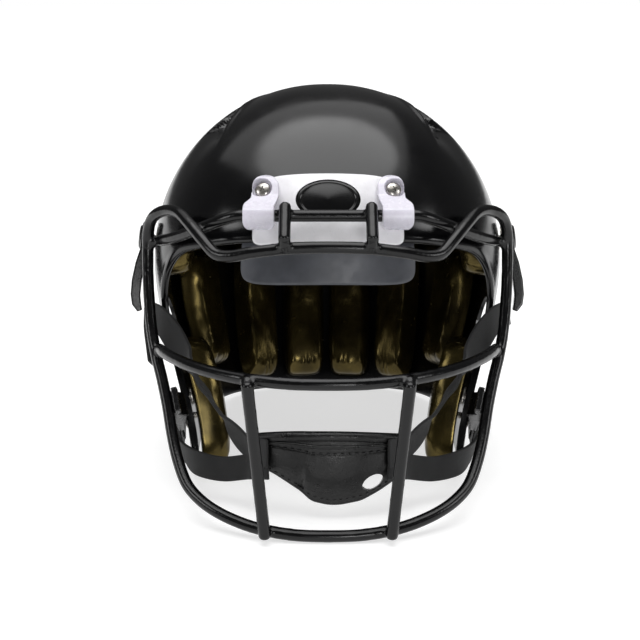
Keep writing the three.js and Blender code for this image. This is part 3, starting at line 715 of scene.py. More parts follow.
def ribbon(name, points, widths, width, thick, rows=160, columns=12):
    """A flat strap along points, its width along given directions, with its own UV map in millimetres."""
    deselect()
    bpy.ops.mesh.primitive_grid_add(x_subdivisions=columns, y_subdivisions=rows, size=2.0, calc_uvs=True)
    obj = named(name)
    p = coords(obj)
    line = open_curve(points, 500)
    across = np.asarray(widths, float)
    t = (p[:, 1] + 1) / 2
    where = t * (len(line) - 1)
    centre = np.stack([np.interp(where, np.arange(len(line)), line[:, k]) for k in range(3)], -1)
    slope = np.gradient(line, axis=0)
    tangent = unit(np.stack([np.interp(where, np.arange(len(line)), slope[:, k]) for k in range(3)], -1))
    knots = np.linspace(0, 1, len(across))
    side = np.stack([np.interp(t, knots, across[:, k]) for k in range(3)], -1)
    side = unit(side - tangent * np.sum(side * tangent, axis=1)[:, None])
    normal = np.cross(tangent, side)
    cup = 0.35 * (p[:, 0] ** 2)
    set_coords(obj, centre + side * (p[:, 0] * width / 2)[:, None] + normal * cup[:, None])
    total = np.sum(np.linalg.norm(np.diff(line, axis=0), axis=1))
    for loop in obj.data.uv_layers.active.data:
        loop.uv = (loop.uv[0] * width, loop.uv[1] * total)
    modify(obj, "SOLIDIFY", thickness=thick, offset=0.0)
    modify(obj, "BEVEL", width=thick * 0.3, segments=2, limit_method="ANGLE")
    return obj


def both_sides(build, name, body, slot, stuff):
    """Builds the right piece and its mirror image on the left, each on its own body."""
    right = to_table(build(f"{name}_right"))
    soften(right)
    paint(right, stuff)
    left = mirrored_copy(right, f"{name}_left")
    for piece, side in ((right, "right"), (left, "left")):
        keep(piece, body.replace("#", side), slot, f"{name}_{side}")
    return right, left


# ---- sizes and colours ----
def colour_setting(label, description, code):
    """A colour that a user may change; its default is an sRGB hex code."""
    return bpy.props.FloatVectorProperty(
        name=label, description=description, subtype="COLOR", size=4, min=0.0, max=1.0, default=linear(code)
    )


class ShellSettings(bpy.types.PropertyGroup):
    """Sizes of the moulded shell."""

    wall: bpy.props.FloatProperty(
        name="Wall", description="Thickness of the shell wall, in millimetres", default=SHELL_WALL, min=2.0
    )
    crease: bpy.props.FloatProperty(
        name="Crease depth", description="Drop beside the front vents, in millimetres", default=7.5, min=0.0
    )
    colour: colour_setting("Shell", "Colour of the moulded shell", "#060607")
    bumper: colour_setting("Bumpers", "Colour of the two bumper plates", "#f6f5f8")


class MaskSettings(bpy.types.PropertyGroup):
    """Sizes of the face mask."""

    wire: bpy.props.FloatProperty(
        name="Wire radius", description="Radius of the coated wire, in millimetres", default=WIRE_R, min=2.0
    )
    colour: colour_setting("Mask", "Colour of the vinyl dip", "#050506")
    clip: colour_setting("Clips", "Colour of the top clips", "#dedbe6")


class LinerSettings(bpy.types.PropertyGroup):
    """Colours of the liner pads."""

    gold: colour_setting("Gold face", "Lighter colour of the gold vinyl", "#655830")
    # The darker gold is painted shade: a shaded copy of the gold vinyl, mixed into its face in random patches.
    gold_painted_shade: colour_setting("Gold painted shade", "Darker colour of the gold vinyl", "#2b2513")
    grey: colour_setting("Grey face", "Lighter colour of the forehead pad", "#4a4c52")
    # The darker grey is painted shade: a shaded copy of the grey vinyl, mixed into its face in random patches.
    grey_painted_shade: colour_setting("Grey painted shade", "Darker colour of the forehead pad", "#33353a")


class StageSettings(bpy.types.PropertyGroup):
    """Brightness of the studio."""

    key: bpy.props.FloatProperty(
        name="Key light", description="Power of the overhead softbox, in watts", default=17.0, subtype="POWER"
    )
    sky: bpy.props.FloatProperty(
        name="Sky panel", description="Strength of the even light from above", default=2.3, min=0.0
    )
    floor_colour: bpy.props.FloatVectorProperty(
        name="Floor", description="Colour of the floor", subtype="COLOR", size=3, default=(0.5, 0.5, 0.5)
    )


# ---- the stage ----
# Each softbox: place, what it faces, its side in metres and its share of the key light's power.
SOFTBOXES = [
    ("overhead softbox", (-0.1, 0.3, 1.9), (0.0, 0.0, 0.15), 2.6, 1.0),
    ("left softbox", (-1.5, -0.7, 0.75), (0.0, 0.0, 0.12), 0.6, 0.3),
    ("right softbox", (1.5, -0.7, 0.75), (0.0, 0.0, 0.12), 0.6, 0.3),
    ("front fill", (0.35, -2.2, 0.42), (0.0, 0.0, 0.1), 0.5, 0.42),
]
CAMERA_PLACE = (-5.0, -950.0, 0.0)
CAMERA_PITCH = 2.07
CAMERA_LENS = 74.8


class HELMET_OT_stage(bpy.types.Operator):
    """Adds the floor, the studio lights and the camera"""

    bl_idname = "helmet.stage"
    bl_label = "Stage"

    def execute(self, context):
        settings = context.scene.helmet_stage
        deselect()
        bpy.ops.mesh.primitive_circle_add(vertices=96, radius=6.0, fill_type="NGON")
        floor = named("studio_floor")
        made, tree, where, shader = new_material("Paper, matt white")
        fibres = node(tree, NOISE, {"Vector": where, "Scale": per_mm(3.0), **EVEN})
        raised = node(tree, BUMP, {"Height": (fibres, "Fac"), "Strength": 0.1, "Distance": 0.1 * MM})
        glow = {"Emission Color": WHITE, "Emission Strength": 0.66}
        matt = {"Roughness": 1.0, "Specular IOR Level": 0.0, "Normal": (raised, "Normal")}
        fill(tree, shader, {"Base Color": (*settings.floor_colour, 1.0), **matt, **glow})
        floor.data.materials.append(made)
        for name, at, towards, size, share in SOFTBOXES:
            self.light(name, at, towards, size, settings.key * share)
        deselect()
        bpy.ops.object.light_add(type="SUN", location=(0.0, 0.0, 3.0))
        sky = bpy.context.object
        sky.name = "sky panel"
        sky.data.energy = settings.sky
        sky.data.angle = math.radians(60.0)
        context.scene.view_settings.view_transform = "Standard"
        self.world()
        self.camera()
        return {"FINISHED"}

    @staticmethod
    def light(name, at, towards, size, power):
        deselect()
        bpy.ops.object.light_add(type="AREA", location=at)
        lamp = bpy.context.object
        lamp.name = name
        lamp.data.shape = "SQUARE"
        lamp.data.size = size
        lamp.data.energy = power
        lamp.rotation_euler = (Vector(towards) - Vector(at)).to_track_quat("-Z", "Y").to_euler()

    @staticmethod
    def world():
        world = bpy.data.worlds.new("Studio")
        bpy.context.scene.world = world
        world.use_nodes = True
        tree = world.node_tree
        tree.nodes.clear()
        rays = node(tree, "ShaderNodeLightPath", {})
        dim = node(tree, "ShaderNodeBackground", {"Color": WHITE, "Strength": 0.1})
        bright = node(tree, "ShaderNodeBackground", {"Color": WHITE, "Strength": 1.0})
        mix = node(tree, "ShaderNodeMixShader", {0: (rays, "Is Camera Ray"), 1: (dim, 0), 2: (bright, 0)})
        node(tree, "ShaderNodeOutputWorld", {"Surface": (mix, 0)})

    @staticmethod
    def camera():
        deselect()
        bpy.ops.object.camera_add()
        camera = bpy.context.object
        camera.name = "camera"
        pitch = math.radians(CAMERA_PITCH)
        forward = Vector(LEVEL_TO_TABLE @ np.array([0.0, math.cos(pitch), -math.sin(pitch)]))
        up = Vector(LEVEL_TO_TABLE @ np.array([0.0, math.sin(pitch), math.cos(pitch)]))
        right = forward.cross(up)
        camera.matrix_world = Matrix(
            [
                (right.x, up.x, -forward.x, 0),
                (right.y, up.y, -forward.y, 0),
                (right.z, up.z, -forward.z, 0),
                (0, 0, 0, 1),
            ]
        )
        camera.location = stand_one(*CAMERA_PLACE)
        camera.data.sensor_width = 36.0
        camera.data.lens = CAMERA_LENS
        bpy.context.scene.camera = camera


# ---- shell ----
CREASE_CORNER = (56.0, -42.0, 106.3)
CREASE_RUN = (0.339, -0.763, -0.551)
CREASE_STEP = (0.756, 0.137, -0.64)
HOLES = [
    ((110, 8, -38), (0, 0, -1), 21.0, 18.0),
    ((66, -50, 100), CREASE_RUN, 14.0, 4.5),
    ((64, 66, 88), (0.8, -0.05, -0.6), 14.0, 4.5),
    ((50, 118, 40), (0.6, 0, -0.8), 14.0, 4.5),
]


# Places on the right side, seen from the heart, that holes, screws and studs share.
TOP_SCREW = (38, -124, 47.5)
SIDE_SCREW = (97, -58, -84)
UPPER_STUD = (118, -28, 23)
LOWER_STUD = (98, -23, -102)
REAR_SCREW = (24, 122, -76)
LOWER_STUD_WAY = (0, -0.93, -0.37)
VALVES = {"crown_valve": (0, 62, 118), "rear_valve": (0, 140, 48)}
BOLT_HOLE = 2.7
VALVE_HOLE = 5.0


def drill(at, radius, low=-15.0, high=25.0, segments=32):
    """A round cutter along the skin's normal at a place."""
    profile = [(0, low), (radius, low), (radius, high), (0, high)]
    return place(turned("cutter", profile, segments), station(*at))


def oval(half_width, half_height, count):
    """An ellipse as outline points."""
    angles = np.linspace(0, 2 * math.pi, count + 1)[:-1]
    return [(half_width * math.cos(a), half_height * math.sin(a)) for a in angles]


def fade(t):
    t = np.clip(t, 0.0, 1.0)
    return (1 - t) ** 2 * (1 + 2 * t)


def ramp(low, high, value):
    return smooth((value - low) / (high - low))


def crease_depth(points, deepest):
    """How far the shell's face drops beside the crease, at points on its skin (both sides)."""
    p = points.copy()
    p[:, 0] = np.abs(p[:, 0])
    corner = on_skin(np.array(CREASE_CORNER))
    normal = skin_normal(corner)
    run = unit(np.array(CREASE_RUN) - normal * np.dot(normal, CREASE_RUN))
    step = unit(np.array(CREASE_STEP) - normal * np.dot(normal, CREASE_STEP))
    solve = np.linalg.inv(np.stack([run, step, normal], -1))
    u, v, w = ((p - corner) @ solve.T).T
    beside = ramp(-1.0, 1.6, v)
    ahead = ramp(-0.6, 1.4, u)
    front = ahead * deepest * fade(u / 52.0) * fade(v / 36.0)
    back = (1 - ahead) * 0.42 * deepest * fade(-u / 34.0) * fade(v / 16.0)
    near = (w > -60.0) & (p[:, 2] > 30.0)
    lip = 1.8 * np.exp(-(((v + 3.2) / 2.8) ** 2)) * fade(np.abs(u - 6.0) / 46.0)
    return np.where(near, beside * (front + back) - lip * (1 - beside), 0.0)


def hole_rounding(points):
    """A soft dip round each opening, where the mould rounds its edge."""
    p = points.copy()
    p[:, 0] = np.abs(p[:, 0])
    dip = np.zeros(len(p))
    for centre, heading, long_axis, short_axis in HOLES:
        turn = station(*centre, heading)
        local = (p - turn[:3, 3]) @ turn[:3, :3]
        r = np.hypot(local[:, 0] / (long_axis + 2.0), local[:, 1] / (short_axis + 2.0))
        close = np.abs(local[:, 2]) < 25.0
        dip = np.maximum(dip, np.where(close, 1.0 * (1 - ramp(0.92, 1.25, r)), 0.0))
    return dip


def denser(count, places, width, boost):
    """Shares from 0 to 1 with more of them near the given places."""
    x = np.linspace(0, 1, 2001)
    density = 1 + boost * sum(np.exp(-(((x - at) / width) ** 2)) for at in places)
    total = np.concatenate([[0], np.cumsum((density[1:] + density[:-1]) / 2)])
    return np.interp(np.linspace(0, total[-1], count + 1), total, x)


class HELMET_OT_shell(bpy.types.Operator):
    """Adds the moulded shell with its creases, vents and ear holes"""

    bl_idname = "helmet.shell"
    bl_label = "Shell"

    def execute(self, context):
        settings = context.scene.helmet_shell
        segments = 480
        outer, rim, inner = ((118, 10, 34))
        rings = outer + rim + inner
        obj, ring, turn = ball_grid("helmet_shell", segments, rings)
        half = [tuple(p) for p in SHELL_EDGE]
        whole = np.array(half + [(-x, y, z) for x, y, z in half[-2:0:-1]], float)
        edge = closed_curve(on_skin(whole), 3000)
        along = denser(segments, (0.11, 0.89), 0.05, 1.6)[:segments]
        edge = edge[np.rint(along * 3000).astype(int) % 3000]
        pole = unit(CROWN_POLE - HEART)
        out = unit(edge - HEART)
        swing = np.arccos(np.clip(out @ pole, -1, 1))

        def point(share, turns, offset):
            angle = swing[turns]
            way = pole * np.sin((1 - share) * angle)[:, None] + out[turns] * np.sin(share * angle)[:, None]
            return on_skin(HEART + way * 100.0, offset)

        spots = np.arange(segments)
        flat = np.zeros(segments)
        pace = np.linalg.norm(
            point(np.full(segments, 1.0), spots, flat) - point(np.full(segments, 0.98), spots, flat), axis=1
        )
        rim_share = (settings.wall / 2) / (pace[turn] / 0.02)
        outer_shares = denser(outer, (0.55,), 0.22, 0.9)
        inner_shares = np.linspace(1, 0, inner + 1)
        share = np.where(
            ring <= outer,
            outer_shares[np.clip(ring, 0, outer)] * (1 - rim_share),
            inner_shares[np.clip(ring - outer - rim, 0, inner)] * (1 - rim_share),
        )
        bend = np.clip((ring - outer) / rim, 0, 1) * math.pi
        on_rim = (ring > outer) & (ring < outer + rim)
        share = np.where(on_rim, 1 - rim_share + rim_share * np.sin(bend), share)
        base = point(share, turn, np.zeros(len(share)))
        depth = crease_depth(base, settings.crease)
        rounding = hole_rounding(base)
        from_edge = (1 - share) * pace[turn] / 0.02
        bead = 0.9 * np.exp(-(((from_edge - 3.0) / 2.4) ** 2))
        lift = -settings.wall / 2 + settings.wall / 2 * np.cos(bend)
        outside = ring <= outer + rim // 2
        lift = lift - depth + np.where(outside, bead - rounding, rounding * 0.6)
        set_coords(obj, point(share, turn, lift))
        tools = []
        for centre, heading, long_axis, short_axis in HOLES:
            outline = oval(long_axis, short_axis, 48)
            tool = place(slab("cutter", outline, -25.0, 25.0), station(*centre, heading))
            tools += [tool, mirrored_copy(tool, "cutter left")]
        for at in (TOP_SCREW, SIDE_SCREW, UPPER_STUD, LOWER_STUD, REAR_SCREW):
            tool = drill(at, BOLT_HOLE, -15, 15, 24)
            tools += [tool, mirrored_copy(tool, "cutter left")]
        tools += [drill(at, VALVE_HOLE, -15, 15, 32) for at in VALVES.values()]
        carve(obj, *tools)
        finish(obj, "gloss", "helmet", "shell_gloss", "shell", degrees=40)
        return {"FINISHED"}


# ---- face mask ----
TOP_WIRE = [
    (0, SWING_Y, SWING_Z), (20, SWING_Y, SWING_Z), (40, SWING_Y, SWING_Z), (54, SWING_Y, SWING_Z),
    (66, SWING_Y + 6, 31), (78, -124, 27.5), (90, -109, 24), (100.6, -94, 21.5), (110, -77, 20.5),
]
BROW_WIRE = [
    (0, -162, 14.4), (24, -161, 13.8), (45, -157, 11.6), (60, -152, 9.4), (68, -147.5, 11), (76, -140, 19),
    (86.5, -126, 30.5), (93.4, -115, 37), (102, -102, 39.2), (110, -92, 37.4), (115, -83.5, 33),
    (117.5, -78, 25), (118, -76, 15), (118, -76, 2),
]
SIDE_WIRE = [
    (0, -150, -160), (20, -149.3, -159.4), (38, -146.8, -157), (52, -142.5, -153.8), (68.5, -135, -147.8),
    (80, -127.5, -141.2), (88.5, -120, -133), (95, -111.5, -119), (99.5, -104, -103), (103, -97.5, -86),
    (107.3, -91, -69), (111.7, -85, -54), (115.4, -79.5, -36), (117.5, -76.5, -12), (118, -76, 1.7),
]
MIDDLE_WIRE = [
    (0, -186, -64.8), (22, -184.2, -64.5), (45, -176, -63), (62, -164.5, -61), (80, -147, -57.8),
    (95, -124.5, -54), (104, -105, -51.4), (108, -92, -50.2),
]
SIDE_WELDS = ((108.6, -90, -50), (114, -76.5, 20), (118, -76, 2))
UPPER_UPRIGHT = ((26, SWING_Y, SWING_Z), (26, -160.7, 13.6), 2.0, 2.5)
LOWER_UPRIGHT = ((47.5, -174.8, -62.8), (38.5, -146.7, -156.9), 2.0, 2.0)


def whole_wire(half):
    return [(-x, y, z) for x, y, z in half[:0:-1]] + list(half)


def upright_ends(high, low, over, under):
    high, low = np.array(high, float), np.array(low, float)
    run = unit(low - high)
    front = unit(np.array([0.0, -1.0, 0.0]) + run * run[1])
    lap = 2 * WIRE_R + 0.3 + 0.3
    return high + front * lap - run * over, low + front * lap + run * under, front


class HELMET_OT_mask(bpy.types.Operator):
    """Adds the face mask: bent wires welded together and dipped in vinyl as one piece"""

    bl_idname = "helmet.mask"
    bl_label = "Face mask"

    def execute(self, context):
        radius = context.scene.helmet_mask.wire
        pieces = [
            rope("wire", whole_wire(TOP_WIRE), radius, 20, 150),
            rope("wire", whole_wire(SIDE_WIRE), radius, 20, 260),
            rope("wire", whole_wire(BROW_WIRE), radius, 20, 220),
            rope("wire", whole_wire(MIDDLE_WIRE), radius, 20, 170),
        ]
        welds = []
        for high, low, over, under in (UPPER_UPRIGHT, LOWER_UPRIGHT):
            for side in (1, -1):
                turn = np.array([side, 1, 1])
                start, end, front = upright_ends(high, low, over, under)
                line = [start * turn, (start + end) / 2 * turn, end * turn]
                pieces.append(rope("wire", line, radius, 20, 60))
                welds += [(np.array(high) + front * 4.1) * turn, (np.array(low) + front * 4.1) * turn]
        for side in (1, -1):
            welds += [np.array(p) * np.array([side, 1, 1]) for p in SIDE_WELDS]
        for spot in welds:
            blob, _, _ = ball_grid("weld", 16, 10)
            set_coords(blob, coords(blob) * 3.9 + spot)
            pieces.append(blob)
        mask = joined("face_mask", *pieces)
        modify(mask, "REMESH", mode="VOXEL", voxel_size=1.05, use_smooth_shade=True)
        modify(mask, "SMOOTH", factor=0.5, iterations=6)
        to_table(mask)
        paint(mask, "dip")
        nodes = ["mask_top_wire", "mask_brow_wire", "mask_side_wire", "mask_middle_wire"]
        nodes += [f"mask_{k}_upright_{s}" for k in ("upper", "lower") for s in ("right", "left")]
        keep(mask, "facemask", "vinyl_coated_wire", *nodes)
        return {"FINISHED"}


# ---- bumpers ----
BADGE_Z = BROW_Z + 26.5
BADGE_WIDE, BADGE_HIGH = 19.5, 12.0


def oval_cutter(grow, low=-160.0, high=-100.0):
    """The badge's oval, straight back from the front."""
    outline = oval(BADGE_WIDE + grow, BADGE_HIGH + grow, 96)
    tool = slab("cutter", outline, 0.0, high - low)
    p = coords(tool)
    set_coords(tool, np.stack([p[:, 0], high - p[:, 2], p[:, 1] + BADGE_Z], -1))
    return tool


class HELMET_OT_bumpers(bpy.types.Operator):
    """Adds the white brow plate, its badge and the rear bumper"""

    bl_idname = "helmet.bumpers"
    bl_label = "Bumpers"

    def execute(self, context):
        plate = skin_plate(
            "front_bumper", (0, -130, BROW_Z + 21), 94.5, 45.0, SEAT_GAP, BUMPER_THICK, 6.5, 1.4,
            detail=(192, 40), flare=0.045,
        )
        left_hole = mirrored_copy(hole := drill(TOP_SCREW, BOLT_HOLE), "cutter left")
        carve(plate, oval_cutter(0.5), hole, left_hole)
        finish(plate, "white", "helmet", "white_plastic", "front_bumper")

        # The badge is a blank oval with a raised border.
        badge, ring, turn = ball_grid("front_badge", 96, 60)
        profile = np.interp(
            ring, [0, 22, 25, 28, 31, 33, 36, 60], [1.2, 0.8, 0.8, 1.5, 1.5, 1.2, 0.0, 0.0]
        )
        share = np.interp(ring, [0, 22, 25, 28, 31, 33, 36, 60], [0.0, 0.8, 0.86, 0.91, 0.95, 1.0, 1.0, 0.0])
        angle = turn * 2 * math.pi / 96
        across = share * (BADGE_WIDE - 0.2) * np.cos(angle)
        upward = share * (BADGE_HIGH - 0.2) * np.sin(angle)
        flat = np.stack([across, np.full(len(ring), -200.0), upward], -1)
        seat = self.seat(flat)
        rise = np.where(ring < 34, 1.4 + profile, 0.0)
        points = np.stack([flat[:, 0], seat - rise, flat[:, 2] + BADGE_Z], -1)
        set_coords(badge, points)
        finish(badge, "gloss", "helmet", "shell_gloss", "front_badge", degrees=50)

        rear = skin_plate(
            "rear_bumper", (0, 126, NAPE_Z + 12), 78.0, 34.0, SEAT_GAP, BUMPER_THICK + 1.4, 6.0, 1.6,
            detail=(160, 30),
        )
        left_hole = mirrored_copy(hole := drill(REAR_SCREW, BOLT_HOLE), "cutter left")
        carve(rear, hole, left_hole)
        to_table(rear)
        points = coords(rear)
        points[:, 2] = np.maximum(points[:, 2], 0.0)
        set_coords(rear, points)
        soften(rear)
        paint(rear, "black")
        keep(rear, "helmet", "black_plastic", "rear_bumper")
        return {"FINISHED"}

    @staticmethod
    def seat(flat):
        """Where lines straight back from the front meet the seat behind the badge."""
        near = np.full(len(flat), -150.0)
        far = np.full(len(flat), -60.0)
        for _ in range(30):
            middle = (near + far) / 2
            outside = skin_value(np.stack([flat[:, 0], middle, flat[:, 2] + BADGE_Z], -1)) > 1.0
            near = np.where(outside, middle, near)
            far = np.where(outside, far, middle)
        return near - SEAT_GAP - 0.5


# ---- clips ----
def arc(cx, cy, radius, start, stop, steps):
    return [
        (cx + radius * math.cos(math.radians(a)), cy + radius * math.sin(math.radians(a)))
        for a in np.linspace(start, stop, steps)
    ]


class HELMET_OT_clips(bpy.types.Operator):
    """Adds the two brow clips that the mask hinges in and the two side clips"""

    bl_idname = "helmet.clips"
    bl_label = "Clips"

    def execute(self, context):
        both_sides(self.top_clip, "top_clip", "helmet", "clip_plastic", "clip")
        both_sides(self.side_clip, "side_clip", "helmet", "black_plastic", "black")
        return {"FINISHED"}

    @staticmethod
    def top_clip(name):
        outline = arc(SWING_Y, SWING_Z, 8.6, -45, -205, 40)
        outline += [(-137.5, 47), (-134.6, 54), (-131.5, 58.5), (-120, 61), (-120, SWING_Z - 8)]
        clip = slab(name, outline, 29.0, 53.0)
        p = coords(clip)
        set_coords(clip, p[:, [2, 0, 1]])
        wire_hole = slab("cutter", arc(SWING_Y, SWING_Z, WIRE_R + 0.45, 0, 354, 60), 20.0, 60.0)
        set_coords(wire_hole, coords(wire_hole)[:, [2, 0, 1]])
        face = arc(37.5, 30.0, 5.0, 180, 270, 10) + arc(46.6, 30.0, 5.0, 270, 360, 10)
        face += arc(47.1, 39.0, 4.5, 0, 60, 8) + [(47.2, 45.0), (46.9, 48.0)]
        face += arc(38.4, 51.6, 8.4, -10, 190, 24) + [(30.0, 47), (31.2, 43), (32.5, 40)]
        keep_face = slab("cutter", face, 60.0, 200.0)
        p = coords(keep_face)
        set_coords(keep_face, np.stack([p[:, 0], -p[:, 2], p[:, 1]], -1))
        carve(clip, keep_face, operation="INTERSECT", clean=True)
        seat = place(turned("cutter", [(0, 8.6), (6.4, 8.6), (6.4, 30), (0, 30)], 48), station(*TOP_SCREW))
        tools = (inside_skin(BUMPER_THICK + 0.5), wire_hole, drill(TOP_SCREW, BOLT_HOLE), seat)
        carve(clip, *tools, clean=True)
        return moulded(clip, 0.4, 12)

    @staticmethod
    def side_clip(name):
        line = open_curve(whole_wire(SIDE_WIRE), 2001)
        half = np.arange(1001, 2001)
        at = half[np.argmin(np.abs(line[half, 2] + 84.0))]
        up = unit(line[at + 1] - line[at - 1])
        front = unit(np.array([0.0, -1.0, 0.0]) + up * up[1])
        out = unit(np.cross(front, up))
        out = out if out[0] > 0 else -out
        inner = WIRE_R + 0.6
        outline = [(-(WIRE_R + 4.4), 4)] + arc(0, 0, WIRE_R + 4.4, 180, 228, 12)
        outline += [(-11, -14), (-16, -28), (-16, -47), (2.2, -47), (0.8, -28), (3, -14), (3.8, -6.6)]
        outline += arc(0, 0, inner, 300, 180, 30) + [(-inner, 4)]
        clip = slab(name, outline, -8.0, 8.0)
        turn = np.eye(4)
        turn[:3, 0], turn[:3, 1], turn[:3, 2], turn[:3, 3] = out, front, np.cross(out, front), line[at]
        place(clip, turn)
        seat = place(turned("cutter", [(0, 5.8), (14, 5.8), (14, 30), (0, 30)], 48), station(*SIDE_SCREW))
        carve(clip, inside_skin(SEAT_GAP + 1.1), drill(SIDE_SCREW, BOLT_HOLE), seat, clean=True)
        return moulded(clip, 0.5, 6)


# ---- screws, nuts, studs and valves ----
class HELMET_OT_hardware(bpy.types.Operator):
    """Adds the screws, nuts, snap studs and inflation valves"""

    bl_idname = "helmet.hardware"
    bl_label = "Hardware"

    def execute(self, context):
        steel = (
            ("top_clip_screw", TOP_SCREW, lambda name: self.screw(name, BUMPER_THICK + 5.3)),
            ("side_clip_screw", SIDE_SCREW, lambda name: self.screw(name, 6.1)),
            ("rear_bumper_screw", REAR_SCREW, lambda name: self.screw(name, BUMPER_THICK + 1.8)),
            ("top_clip_nut", TOP_SCREW, self.nut),
            ("side_clip_nut", SIDE_SCREW, self.nut),
            ("snap_stud_upper", UPPER_STUD, self.stud),
            ("snap_stud_lower", LOWER_STUD, self.stud),
        )
        for key, at, make in steel:
            both_sides(
                lambda name, a=at, m=make: place(m(name), station(*a)),
                key, "helmet", "steel_hardware", "steel",
            )
        for name, at in VALVES.items():
            valve = place(self.valve(name), station(*at))
            finish(valve, "black", "helmet", "black_plastic", name)
        return {"FINISHED"}

    @staticmethod
    def screw(name, seat):
        """A pan head with a cross recess."""
        r = 4.9
        tail = -(SHELL_WALL + 2.6)
        profile = [(0, tail), (2.2, tail), (2.2, seat), (r - 0.2, seat), (r, seat + 0.25), (r, seat + 1.0)]
        profile += [(r * 0.96, seat + 1.4), (r * 0.85, seat + 1.9), (r * 0.65, seat + 2.35), (r * 0.4, seat + 2.65)]
        profile += [(r * 0.15, seat + 2.78), (0, seat + 2.8)]
        made = turned(name, profile, 48)
        for turn in (20, 110):
            blade = slab("cutter", [(-2.6, -0.5), (2.6, -0.5), (2.6, 0.5), (-2.6, 0.5)], seat + 1.3, seat + 5.0)
            p = coords(blade)
            taper = np.where(p[:, 2] < seat + 2, 0.55, 1.0)
            a = math.radians(turn)
            x, y = p[:, 0] * taper, p[:, 1] * taper
            points = [x * math.cos(a) - y * math.sin(a), x * math.sin(a) + y * math.cos(a), p[:, 2]]
            set_coords(blade, np.stack(points, -1))
            carve(made, blade, solver="EXACT")
        return made

    @staticmethod
    def nut(name):
        """A round tee nut with a chamfered rim, drilled through."""
        top = -(SHELL_WALL + 1.3)
        bottom = top - 1.5
        bore = 2.55
        profile = [(0, bottom), (5.6, bottom), (6, bottom + 0.4), (6, top - 0.3), (5.7, top), (0, top)]
        made = turned(name, profile, 48)
        tool = turned("cutter", [(0, bottom - 3), (bore, bottom - 3), (bore, top + 3), (0, top + 3)], 32)
        carve(made, tool, solver="EXACT")
        return made

    @staticmethod
    def stud(name):
        tail = -(SHELL_WALL + 2.4)
        profile = [(0, tail), (2.2, tail), (2.2, 1.3), (7.7, 1.3), (8, 1.55), (7.9, 2.1), (7.2, 2.35), (3.4, 2.75)]
        profile += [(2.7, 3.1), (2.5, 3.8), (2.7, 4.6), (3, 5.3), (3, 6.6), (2.7, 7.2), (2, 7.6)]
        profile += [(1, 7.75), (0, 7.8)]
        return turned(name, profile, 40)

    @staticmethod
    def valve(name):
        profile = [(0, -6), (4.2, -6), (4.4, -5.6), (4.4, 0.8), (6.8, 0.8), (7, 1.1), (6.8, 1.7), (6.2, 2.2)]
        profile += [(5.2, 2.4), (3.4, 2.4), (3.0, 2.1), (1.4, 2.0), (1.0, 1.6), (1.0, -1.0), (0, -1.0)]
        return turned(name, profile, 48)


# ---- chin strap ----
UPPER_BUCKLE = [
    (-11.5, 4), (-11.5, 7.4), (-9.5, 9.4), (9, 9.8), (18, 11.8), (30, 13.1), (40, 12.9), (47, 11.2), (51.5, 7),
    (50, 4.0), (46.5, 5.0), (40, 6.3), (30, 6.3), (20, 5.2), (11.5, 4.4), (11.5, 4),
]
LOWER_BUCKLE = [
    (-11.5, 4), (-11.5, 7.4), (-9.5, 9.4), (9, 9.8), (20, 9), (24, 7.6), (24, 5.2), (11.5, 4.4), (11.5, 4),
]
UPPER_STRAP = [
    (37.5, -126.5, -113), (46.5, -118.8, -111.5), (52.5, -110.5, -109), (75, -97, -82),
    (96, -82, -50), (109.5, -69, -33), (119.5, -54, -28.5), (124, -41, -27),
]
UPPER_STRAP_WAY = [
    (0.25, 0.05, 1), (0.4, 0.05, 0.9), (0.6, 0.1, 0.8), (0.55, 0.2, 0.8),
    (0.45, 0.25, 0.85), (0.1, 0.2, 1), (0, 0.1, 1), (0, 0.1, 1),
]
STRAP_TAIL = [(-124.5, -34, -28), (-123.6, -40, -38), (-121.6, -46, -50), (-119.6, -50, -62)]
LOWER_STRAP = [
    (37.5, -122.5, -122), (46, -116.5, -122.5), (52, -108, -124), (68, -99, -126.5),
    (84, -90.5, -124), (94, -78, -118.5), (99, -66, -113), (103.5, -57, -109),
]
LOWER_STRAP_WAY = [
    (-0.1, -0.2, 1), (-0.1, -0.1, 1), (-0.1, 0.1, 1), (0, 0.1, 1),
    (0.05, 0.1, 1), (0.25, -0.1, 1), (0.25, -0.35, 1), (0.2, -0.4, 1),
]


